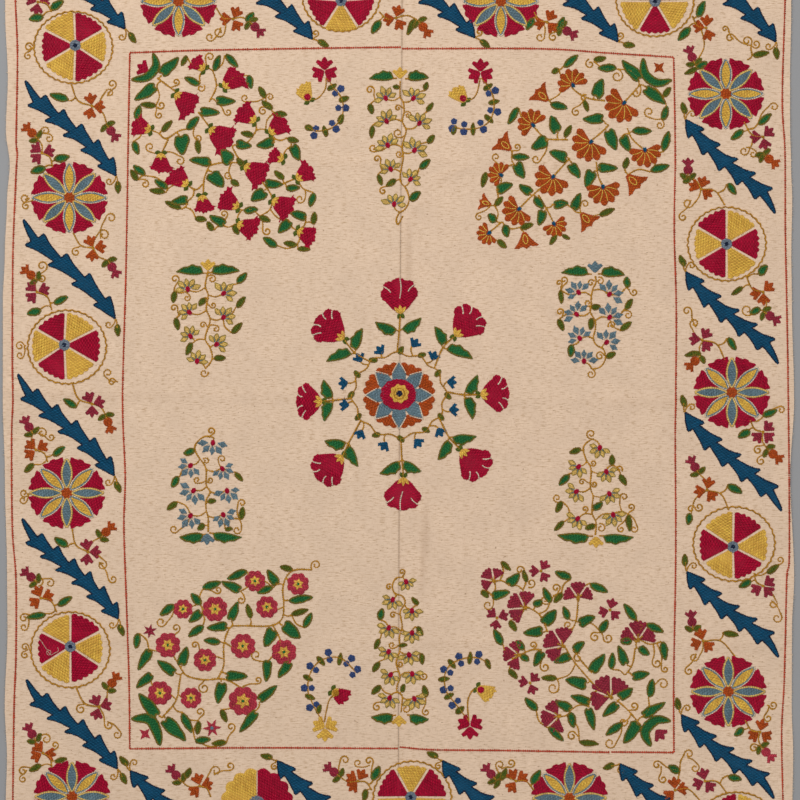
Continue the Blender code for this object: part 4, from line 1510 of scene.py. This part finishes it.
BUDS = (
    (32, 133, 135, "rust"), (111, 131, -55, "plum"), (112, 267, -60, "plum"), (31, 275, 140, "rust"),
    (108, 422, -70, "rust"), (29, 427, 120, "plum"), (106, 532, 45, "rust"), (31, 577, 140, "plum"),
    (112, 683, 55, "rust"), (32, 734, 120, "plum"), (692, 57, 112, "plum"), (769, 159, -38, "rust"),
    (688, 170, 90, "plum"), (770, 316, -33, "plum"), (695, 361, -135, "rust"), (773, 454, -40, "rust"),
    (695, 467, 120, "plum"), (692, 622, 98, "plum"), (766, 752, -48, "raspberry"), (176, 775, 130, "plum"),
    (334, 772, 143, "plum"), (491, 774, 130, "plum"), (255, 27, -45, "plum"), (423, 27, -53, "rust"),
    (567, 31, -30, "plum"),
)
BORDER_SPRIG_LEAVES = (
    (59, 97, -22, 20, 8), (62, 158, 20, 16, 8), (38, 170, 25, 16, 8), (61, 300, 20, 16, 7),
    (34, 312, 25, 15, 8), (70, 403, -25, 16, 7), (59, 451, 30, 15, 7), (29, 468, 35, 13, 6),
    (61, 542, -40, 16, 8), (65, 601, 25, 17, 7), (36, 616, 15, 20, 7), (61, 760, 10, 13, 5),
    (35, 768, 20, 14, 6), (57, 5, 25, 16, 8), (36, 18, 20, 15, 8), (702, 65, 40, 13, 7),
    (691, 71, 20, 15, 5), (761, 54, 5, 17, 6), (765, 119, 35, 17, 7), (737, 135, 30, 16, 7),
    (760, 155, 15, 11, 6), (687, 180, 25, 10, 6), (732, 189, -45, 14, 7), (763, 270, 40, 13, 8),
    (737, 291, 30, 14, 5), (755, 311, 15, 12, 7), (732, 344, -50, 15, 7), (691, 354, 10, 14, 5),
    (770, 413, 30, 16, 7), (744, 434, 40, 14, 8), (735, 489, -35, 17, 8), (689, 519, 70, 12, 7),
    (773, 569, 30, 15, 6), (745, 584, 20, 14, 7), (731, 634, -15, 16, 6), (739, 732, 30, 12, 7),
    (735, 778, -20, 14, 7), (674, 769, -20, 13, 8), (188, 773, 70, 12, 6), (376, 773, 70, 16, 8),
    (365, 795, 70, 12, 6), (504, 774, 75, 13, 6), (536, 777, 65, 17, 8), (497, 784, 50, 11, 5),
    (250, 17, 60, 12, 7), (376, 27, 65, 16, 8), (411, 27, 60, 18, 6), (530, 24, 65, 14, 7),
    (561, 24, 60, 16, 7), (701, 9, 60, 18, 8), (684, 34, 55, 18, 8),
)
# A tendril that would be longer than this many squares starts beside its curl instead.
LONGEST_TENDRIL = 26
# Where on the rosettes other twigs of tendrils begin.
BORDER_ROOTS = ((747, 60), (36, 197), (31, 651))
# X, Y and radius. Where two stand close together they are the two ends of one tendril.
BORDER_CURLS = (
    (109.5, 93, 3.8), (112, 84, 4.2), (45.5, 131, 3.8), (49, 138.5, 3.6), (104, 235, 5), (111, 218, 4.5),
    (76, 252, 4), (42, 266, 5), (42, 278, 3.5), (112, 382, 3.5), (108, 373, 4), (42, 433, 4.5),
    (51, 437, 3.5), (102, 565, 4.5), (113, 579, 4), (39, 581, 4.5), (50, 583, 4), (24, 618, 4),
    (24, 627, 3.5), (81, 709, 4.5), (109, 725, 4), (117, 734.5, 4), (46, 739, 4.5), (55, 745, 3.5),
    (23, 771, 4), (23, 779, 3.5), (29, 47, 4), (28, 56, 3.5), (25, 198, 4), (26, 206, 3.5), (20, 346, 4),
    (20, 355, 3.5), (24, 493, 3.5), (23, 500, 3.5), (25, 647, 3.5), (25, 655, 3.5), (747, 41, 4.5),
    (756, 44, 4), (774, 107, 4), (744, 151, 4), (753, 154, 3.5), (688, 203, 4.5), (683, 217, 4),
    (747, 310, 5), (694.5, 323.5, 4.2), (687, 311, 4.2), (781, 410, 3.5), (758, 450, 4), (761, 461, 4),
    (699, 507, 4), (691, 509, 3.5), (780, 560, 3.5), (773, 604, 4), (777, 618, 4.5), (694, 657, 4),
    (689, 671, 4), (773, 705, 4), (768, 718, 4), (754, 748, 4), (689, 754, 4), (695, 768, 4), (657, 765, 4),
    (663, 779, 4), (216, 771, 4.5), (230, 766, 4), (345, 760, 4), (369, 761, 4), (358, 763, 3.5),
    (500, 765, 4), (511, 763, 4), (219, 32, 5), (210, 37, 4), (540, 37, 4), (553, 37, 4), (730, 38, 4),
    (725, 29, 3),
)


class Embroidery:
    """What the operators of the needlework share. Each names its piece and the seed of its unevenness."""

    def execute(self, context):
        work = Needlework(self.piece, self.seed)
        self.embroider(work)
        work.lay(SILK_SLOT)
        return {"FINISHED"}


class SUZANI_OT_cloth(bpy.types.Operator):
    """Make the two loom widths of cotton, with their creases and worn selvedges"""

    bl_idname = "suzani.cloth"
    bl_label = "Cloth"

    def execute(self, context):
        left = cotton_panel("cloth_left", "panel_left", -1, (1.0, 0.995, 0.985))
        right = cotton_panel("cloth_right", "panel_right", 1, (1.01, 1.0, 0.99))
        return {"FINISHED"}


class SUZANI_OT_running_lines(Embroidery, bpy.types.Operator):
    """Sew the thin brick-red lines along both sides of the border"""

    bl_idname = "suzani.running_lines"
    bl_label = "Running lines"
    piece, seed = "running_lines", 11

    def embroider(self, work):
        routes = (OUTER_LEFT, OUTER_RIGHT, INNER_LEFT, INNER_RIGHT, *INNER_TOP, *INNER_BOTTOM, OUTER_TOP,
                  OUTER_BOTTOM)
        for route in routes:
            work.line(route_through(route, 4), "brick", 1.65, -0.1, 2.2, 1.05)


class SUZANI_OT_rosettes(Embroidery, bpy.types.Operator):
    """Embroider the border's rosettes"""

    bl_idname = "suzani.rosettes"
    bl_label = "Rosettes"
    piece, seed = "border_rosettes", 21

    def embroider(self, work):
        for row in PINWHEELS:
            pinwheel_rosette(work, *row)
        for row in STARS:
            star_rosette(work, *row)


class SUZANI_OT_spears(Embroidery, bpy.types.Operator):
    """Embroider the slanting blue leaves of the border"""

    bl_idname = "suzani.spears"
    bl_label = "Border leaves"
    piece, seed = "border_leaves", 31

    def embroider(self, work):
        for row in SPEARS:
            spear(work, *row)


class SUZANI_OT_border_sprigs(Embroidery, bpy.types.Operator):
    """Embroider the flowers, buds and tendrils between the rosettes"""

    bl_idname = "suzani.border_sprigs"
    bl_label = "Border sprigs"
    piece, seed = "border_sprigs", 41

    def embroider(self, work):
        reached = [np.array([at(x, y) for x, y in BORDER_ROOTS])]
        for x, y, thread, turns, root_x, root_y in BORDER_FLOWERS:
            start, end = at(root_x, root_y), at(x, y)
            route = smooth_route([start, start + 0.55 * (end - start) - 0.22j * (end - start), end])
            work.line(route, "gold", 1.5)
            reached.append(route)
            three_florets(work, x, y, thread, turns)
        grow(work, reached, [bud(work, x, y, turn, thread) for x, y, turn, thread in BUDS])
        leaves = [towards(row, np.concatenate(reached)) for row in BORDER_SPRIG_LEAVES]
        grow(work, reached, [leaf_foot(*row) for row in leaves])
        for row in leaves:
            leaf(work, *row)
        for x, y, radius in BORDER_CURLS:
            places = np.concatenate(reached)
            root = nearest(places, at(x, y))
            if abs(root - at(x, y)) > LONGEST_TENDRIL:
                root = at(x, y) + (6 if x < 400 else -6)
            curl(work, x, y, radius, root)
            reached.append(np.array([at(x, y) + (root - at(x, y)) / abs(root - at(x, y)) * radius]))
        halved_flower(work, 257, 804, 36.5)


class SUZANI_OT_bell_corner(Embroidery, bpy.types.Operator):
    """Embroider the corner spray of crimson bells"""

    bl_idname = "suzani.bell_corner"
    bl_label = "Bell corner"
    piece, seed = "bell_corner", 51

    def embroider(self, work):
        spray(work, BELL_STEMS, BELL_LEAVES, BELL_CURLS, BELLS)
        for row in BELLS:
            bell(work, *row)
        bent_leaf(work, ((153, 53), (156, 66), (147, 77), (131, 80)), 8.5)
        floret(work, at(148, 71), 150, 12, "crimson")


class SUZANI_OT_fan_corner(Embroidery, bpy.types.Operator):
    """Embroider the corner spray of orange fan flowers"""

    bl_idname = "suzani.fan_corner"
    bl_label = "Fan corner"
    piece, seed = "fan_corner", 61

    def embroider(self, work):
        spray(work, FAN_STEMS, FAN_LEAVES, FAN_CURLS, FANS + CONES)
        for x, y, turn, reach in FANS:
            petal_fan(work, x, y, turn, reach, "rust", 7, 215.0, 0.25, 1, 0.16, "blue", "yellow")
        for row in CONES:
            cone(work, *row)
        bent_leaf(work, ((643, 58), (645, 74), (657, 83), (672, 80)), 9)
        star(work, 659, 67.6, 7.2, 4, "rust", 45)


class SUZANI_OT_rose_corner(Embroidery, bpy.types.Operator):
    """Embroider the corner spray of round flowers"""

    bl_idname = "suzani.rose_corner"
    bl_label = "Rose corner"
    piece, seed = "rose_corner", 71

    def embroider(self, work):
        spray(work, ROSE_STEMS, ROSE_LEAVES, ROSE_CURLS, ROSES)
        for row in ROSES:
            round_flower(work, *row)
        star(work, 150, 631, 7.5, 6, "plum", 20, 0.4)
        star(work, 212, 728, 9.5, 6, "raspberry", 5, 0.4)
        work.fill(at(212, 728) + disc(1.8, 7), "steel", 0, 0.4)
        star(work, 145, 734, 7.0, 4, "raspberry", 50)
        bent_leaf(work, ((131, 719), (149, 719), (157, 732), (160, 746)), 10.5)


class SUZANI_OT_mallow_corner(Embroidery, bpy.types.Operator):
    """Embroider the corner spray of purple mallows"""

    bl_idname = "suzani.mallow_corner"
    bl_label = "Mallow corner"
    piece, seed = "mallow_corner", 81

    def embroider(self, work):
        spray(work, MALLOW_STEMS, MALLOW_LEAVES, MALLOW_CURLS, MALLOWS)
        for x, y, turn, reach in MALLOWS:
            petal_fan(work, x, y, turn, 1.04 * reach, "plum", 3, 205.0, 1.9, 4, 0.09)
            for lean in (-50, 0, 50):
                work.line([at(x, y), at(x, y) + 0.32 * reach * heading(turn + lean)], "gold", 1.1, 0.5)
        for x, y, turn in ((541, 571, 60), (497, 618, 20), (610, 610, 75), (530, 683, 50)):
            three_florets(work, x, y, "plum", (turn, turn + 120, turn + 240), 10)
        floret(work, at(656, 730), -48, 12, "plum")
        bent_leaf(work, ((671, 721), (656, 720), (645, 732), (651, 747)), 10)


def footed_sprays(work, rows):
    """Sprays with a pair of leaves and a tulip at the foot."""
    for thread, crown, (stems, blooms, leaves, curls, foot_leaves), x, y, turn, size in rows:
        spray(work, stems, leaves, curls, blooms)
        for row in blooms:
            bloom(work, *row, thread)
        for points in foot_leaves:
            foot, tip = at(*points[0]), at(*points[-1])
            leaf_from(work, foot, tip, 10, math.copysign(1, (heading(turn) / (tip - foot)).imag))
        floret(work, at(x, y) + 1.5 * heading(turn), turn, size, crown)


class SUZANI_OT_sprays(Embroidery, bpy.types.Operator):
    """Embroider the four small sprays"""

    bl_idname = "suzani.sprays"
    bl_label = "Small sprays"
    piece, seed = "small_sprays", 91

    def embroider(self, work):
        footed_sprays(work, SPRAYS)


class SUZANI_OT_tall_sprays(Embroidery, bpy.types.Operator):
    """Embroider the two tall sprays on the seam"""

    bl_idname = "suzani.tall_sprays"
    bl_label = "Tall sprays"
    piece, seed = "tall_sprays", 101

    def embroider(self, work):
        footed_sprays(work, TALL_SPRAYS)


class SUZANI_OT_curved_sprigs(Embroidery, bpy.types.Operator):
    """Embroider the four curved sprigs near the ends of the seam"""

    bl_idname = "suzani.curved_sprigs"
    bl_label = "Curved sprigs"
    piece, seed = "curved_sprigs", 111

    def embroider(self, work):
        stems = [route_through(points) for points in SPRIG_STEMS]
        for route in stems:
            work.line(route, "gold", 1.3)
        for row in SPRIG_LEAVES:
            leaf(work, *row)
        stems = np.concatenate(stems)
        turns = np.arange(0, 360, 24)
        rim = 3.9 * (0.84 + 0.16 * np.abs(np.sin(np.radians(2.5 * turns)))) * heading(turns)
        for x, y in SPRIG_FLOWERS:
            number = int(np.argmin(np.abs(stems[:-1] - at(x, y))))
            along = stems[number + 1] - stems[number]
            for side, share in ((1, 1.0), (-1, 0.84)):
                place = at(x, y) + side * 3.7j * along / abs(along)
                work.fill(place + share * rim * heading(13 * x), "indigo", 20 + 13 * x)
        for x, y, turn, thread in ((324.5, 70.5, 90, "crimson"), (480.5, 72, 90, "crimson"),
                                   (470, 726, -90, "crimson"), (325, 728, -90, "yellow")):
            for lean in (0, 118, -118):
                floret(work, at(x, y) + 0.6 * heading(turn + lean), turn + lean, 12.5, thread)
        for x, y, turn, thread in ((309, 100, 118, "yellow"), (465, 101, 130, "yellow"),
                                   (478, 688, -30, "yellow"), (333, 691, -32, "crimson")):
            bell(work, x, y, turn, 18, thread, 5, 33)
            eye = at(x, y) + 3.2 * heading(turn) + disc(3.4, 9)
            work.fill(eye, "crimson" if thread == "yellow" else "gold", turn, 0.85)


class SUZANI_OT_medallion(Embroidery, bpy.types.Operator):
    """Embroider the middle medallion and its wreath of carnations"""

    bl_idname = "suzani.medallion"
    bl_label = "Medallion"
    piece, seed = "medallion", 121

    def embroider(self, work):
        middle, eye = at(399, 395.2), at(399.4, 393.6)
        for number in range(8):
            turn = 45 * number + 22.5
            arc = turn + np.linspace(-20.5, 20.5, 13)
            rim = oval(arc, 36.4, 33.3)
            rim *= 1 - 0.07 * (1 - np.abs(np.sin(np.linspace(0, 3 * np.pi, 13))))
            wedge = np.concatenate([rim, 21.5 * heading(turn + np.array([3, -3]))])
            work.fill(middle + wedge, "rust", turn + 30)
            upper = np.array([15 + 6.3j, 22 + 7j, 28 + 3.8j])
            petal = heading(turn - 22.5) * np.concatenate([upper.conjugate(), [34], upper[::-1]])
            work.fill(middle + petal.real + 0.96j * petal.imag, "steel", turn + 40, 0.15)
            work.line(middle + petal[1:6], "cream", 1.1, 0.5)
        turn = np.arange(0, 360, 4)
        rim = oval(turn, 17.8, 15.2)
        rim = rim * (1 + 0.03 * np.sin(np.radians(turn * 12)))
        work.fill(at(398.3, 394.4) + rim[::2], "crimson", 15, 0.55)
        petals = 1 + 0.09 * np.sin(np.radians(8 * turn[::2]))
        work.fill(eye + 9.0 * petals * heading(turn[::2]), "yellow", 70, 1.1)
        work.ring(eye + 5.6 * heading(turn[::4]), "gold", 0.9, 1.6, 2)
        work.fill(eye + disc(3.2, 9), "navy", 0, 1.5)
        vine = oval(turn, 46.0, 41.8)
        vine = vine * (1 + 0.045 * np.cos(np.radians(12 * turn - 40)))
        work.ring(middle + vine, "gold", 1.4)
        places = middle + vine
        tulips, leaves = ([at(*place) for place in table] for table in (MEDALLION_TULIPS, MEDALLION_LEAVES))
        grow(work, [places], tulips + leaves)
        for number, place in enumerate(tulips):
            out = turn_of(place - middle)
            floret(work, place - 3 * heading(out), out + 20 * (-1) ** number, 9.5, "blue")
        for number, place in enumerate(leaves):
            out = turn_of(place - middle)
            leaf(work, *draft(place), out + 35 * (-1) ** number, 9, 5)
        for joint_x, joint_y, first_x, first_y, second_x, second_y, *flower in CARNATIONS:
            joint, calyx = at(joint_x, joint_y), at(flower[2], flower[3])
            root = nearest(places, joint)
            work.line(smooth_route([root, joint, calyx]), "gold", 1.6)
            leaf_from(work, joint, at(first_x, first_y), 10.5, 1)
            leaf_from(work, joint, at(second_x, second_y), 10.5, -1)
            carnation(work, *flower)


class SUZANI_OT_seam(Embroidery, bpy.types.Operator):
    """Sew the two loom widths together with small slanting stitches, and lay the loose end of thread"""

    bl_idname = "suzani.seam"
    bl_label = "Seam"
    piece, seed = "seam_stitches", 131

    def embroider(self, work):
        y = np.arange(-CLOTH_LENGTH / 2 + 4, CLOTH_LENGTH / 2 - 4, SEAM_STITCH_SPACING)
        middle = (station_value(y, SEAM) + 1j * y) / SQUARE
        work.sew("chain", middle - 0.9 - 0.35j, middle + 0.9 + 0.35j, "cream", 0.55, -0.05, 1.0)
        work.line(route_through(LOOSE_THREAD, 0.6), "cream", 0.4, 1.0, 1.2)


class SUZANI_OT_selvedges(Embroidery, bpy.types.Operator):
    """Fray both selvedges: short loose fibres"""

    bl_idname = "suzani.selvedges"
    bl_label = "Selvedge fibres"
    piece, seed = "selvedge_fibres", 141

    def embroider(self, work):
        random = work.random
        for side, column in ((-1, LEFT_EDGE), (1, RIGHT_EDGE)):
            y = random.uniform(-CLOTH_LENGTH / 2 + 2, CLOTH_LENGTH / 2 - 2, FIBRES)
            edge = side * (station_value(y, column) - 0.8) + 1j * y
            reach = random.uniform(1.2, 4.5, len(y)) * side * heading(random.normal(0, 38, len(y)))
            work.sew("chain", edge / SQUARE, (edge + reach) / SQUARE, "cream", 0.26, -0.75, 1.0)


def soft_light(name, size, place, power):
    """A lamp behind a sheet of cloth, turned towards the middle of the hanging."""
    light = bpy.data.lights.new(name, "AREA")
    light.shape = "RECTANGLE"
    light.size, light.size_y = size
    light.energy = power
    holder = new_object(name, light)
    holder.location = place
    holder.rotation_euler = (-Vector(place)).to_track_quat("-Z", "Y").to_euler()


class SUZANI_OT_stage(bpy.types.Operator):
    """Set up the floor, the lights and the camera straight above the cloth"""

    bl_idname = "suzani.stage"
    bl_label = "Stage"

    def execute(self, context):
        scene = context.scene
        settings = scene.suzani_stage
        bm = bmesh.new()
        bmesh.ops.create_grid(bm, x_segments=1, y_segments=1, size=FLOOR_SIZE)
        bmesh.ops.translate(bm, verts=bm.verts[:], vec=(0, 0, -0.4 * MM))
        mesh = new_mesh("floor", bm)
        material, _, shader = new_material("painted board")
        shader.inputs["Base Color"].default_value = rgba(settings.floor_colour)
        shader.inputs["Roughness"].default_value = 0.9
        mesh.materials.append(material)
        floor = new_object("floor", mesh)
        camera = bpy.data.cameras.new("camera")
        camera.lens = 85
        camera.sensor_width = 36
        camera.clip_end = 20
        holder = new_object("camera", camera)
        middle = at(400, 400) * SQUARE * MM
        holder.location = (middle.real, middle.imag, settings.camera_height)
        scene.camera = holder
        soft_light("key light", *KEY_LIGHT, settings.key_power)
        soft_light("fill light", *FILL_LIGHT, settings.fill_power)
        world = bpy.data.worlds.new("studio")
        world.use_nodes = True
        background = world.node_tree.nodes["Background"]
        background.inputs["Color"].default_value = (1, 1, 1, 1)
        background.inputs["Strength"].default_value = 0.32
        scene.world = world
        scene.view_settings.view_transform = "Standard"
        return {"FINISHED"}


PIECES = (
    SUZANI_OT_cloth, SUZANI_OT_running_lines, SUZANI_OT_rosettes, SUZANI_OT_spears, SUZANI_OT_border_sprigs,
    SUZANI_OT_bell_corner, SUZANI_OT_fan_corner, SUZANI_OT_rose_corner, SUZANI_OT_mallow_corner,
    SUZANI_OT_sprays, SUZANI_OT_tall_sprays, SUZANI_OT_curved_sprigs, SUZANI_OT_medallion, SUZANI_OT_seam,
    SUZANI_OT_selvedges, SUZANI_OT_stage,
)


class SUZANI_PT_panel(bpy.types.Panel):
    """Lists the pieces of the suzani and their settings"""

    bl_label = "Suzani"
    bl_idname = "SUZANI_PT_panel"
    bl_space_type = "VIEW_3D"
    bl_region_type = "UI"
    bl_category = "Suzani"

    def draw(self, context):
        for operator in PIECES:
            self.layout.operator(operator.bl_idname)
        for name in SETTINGS:
            box = self.layout.box()
            group = getattr(context.scene, name)
            for setting in group.bl_rna.properties.keys():
                if setting not in ("rna_type", "name"):
                    box.prop(group, setting)


SETTINGS = {
    "suzani_cloth": ClothSettings,
    "suzani_stitches": StitchSettings,
    "suzani_threads": ThreadColours,
    "suzani_stage": StageSettings,
}


def register():
    for kind in (*SETTINGS.values(), *PIECES, SUZANI_PT_panel):
        bpy.utils.register_class(kind)
    for name, group in SETTINGS.items():
        setattr(bpy.types.Scene, name, bpy.props.PointerProperty(type=group))


def unregister():
    for name in SETTINGS:
        delattr(bpy.types.Scene, name)
    for kind in (SUZANI_PT_panel, *PIECES, *SETTINGS.values()):
        bpy.utils.unregister_class(kind)


def main():
    """Makes every piece in order."""
    register()
    for operator in PIECES:
        getattr(bpy.ops.suzani, operator.bl_idname.split(".")[1])()


if __name__ == "__main__":
    main()
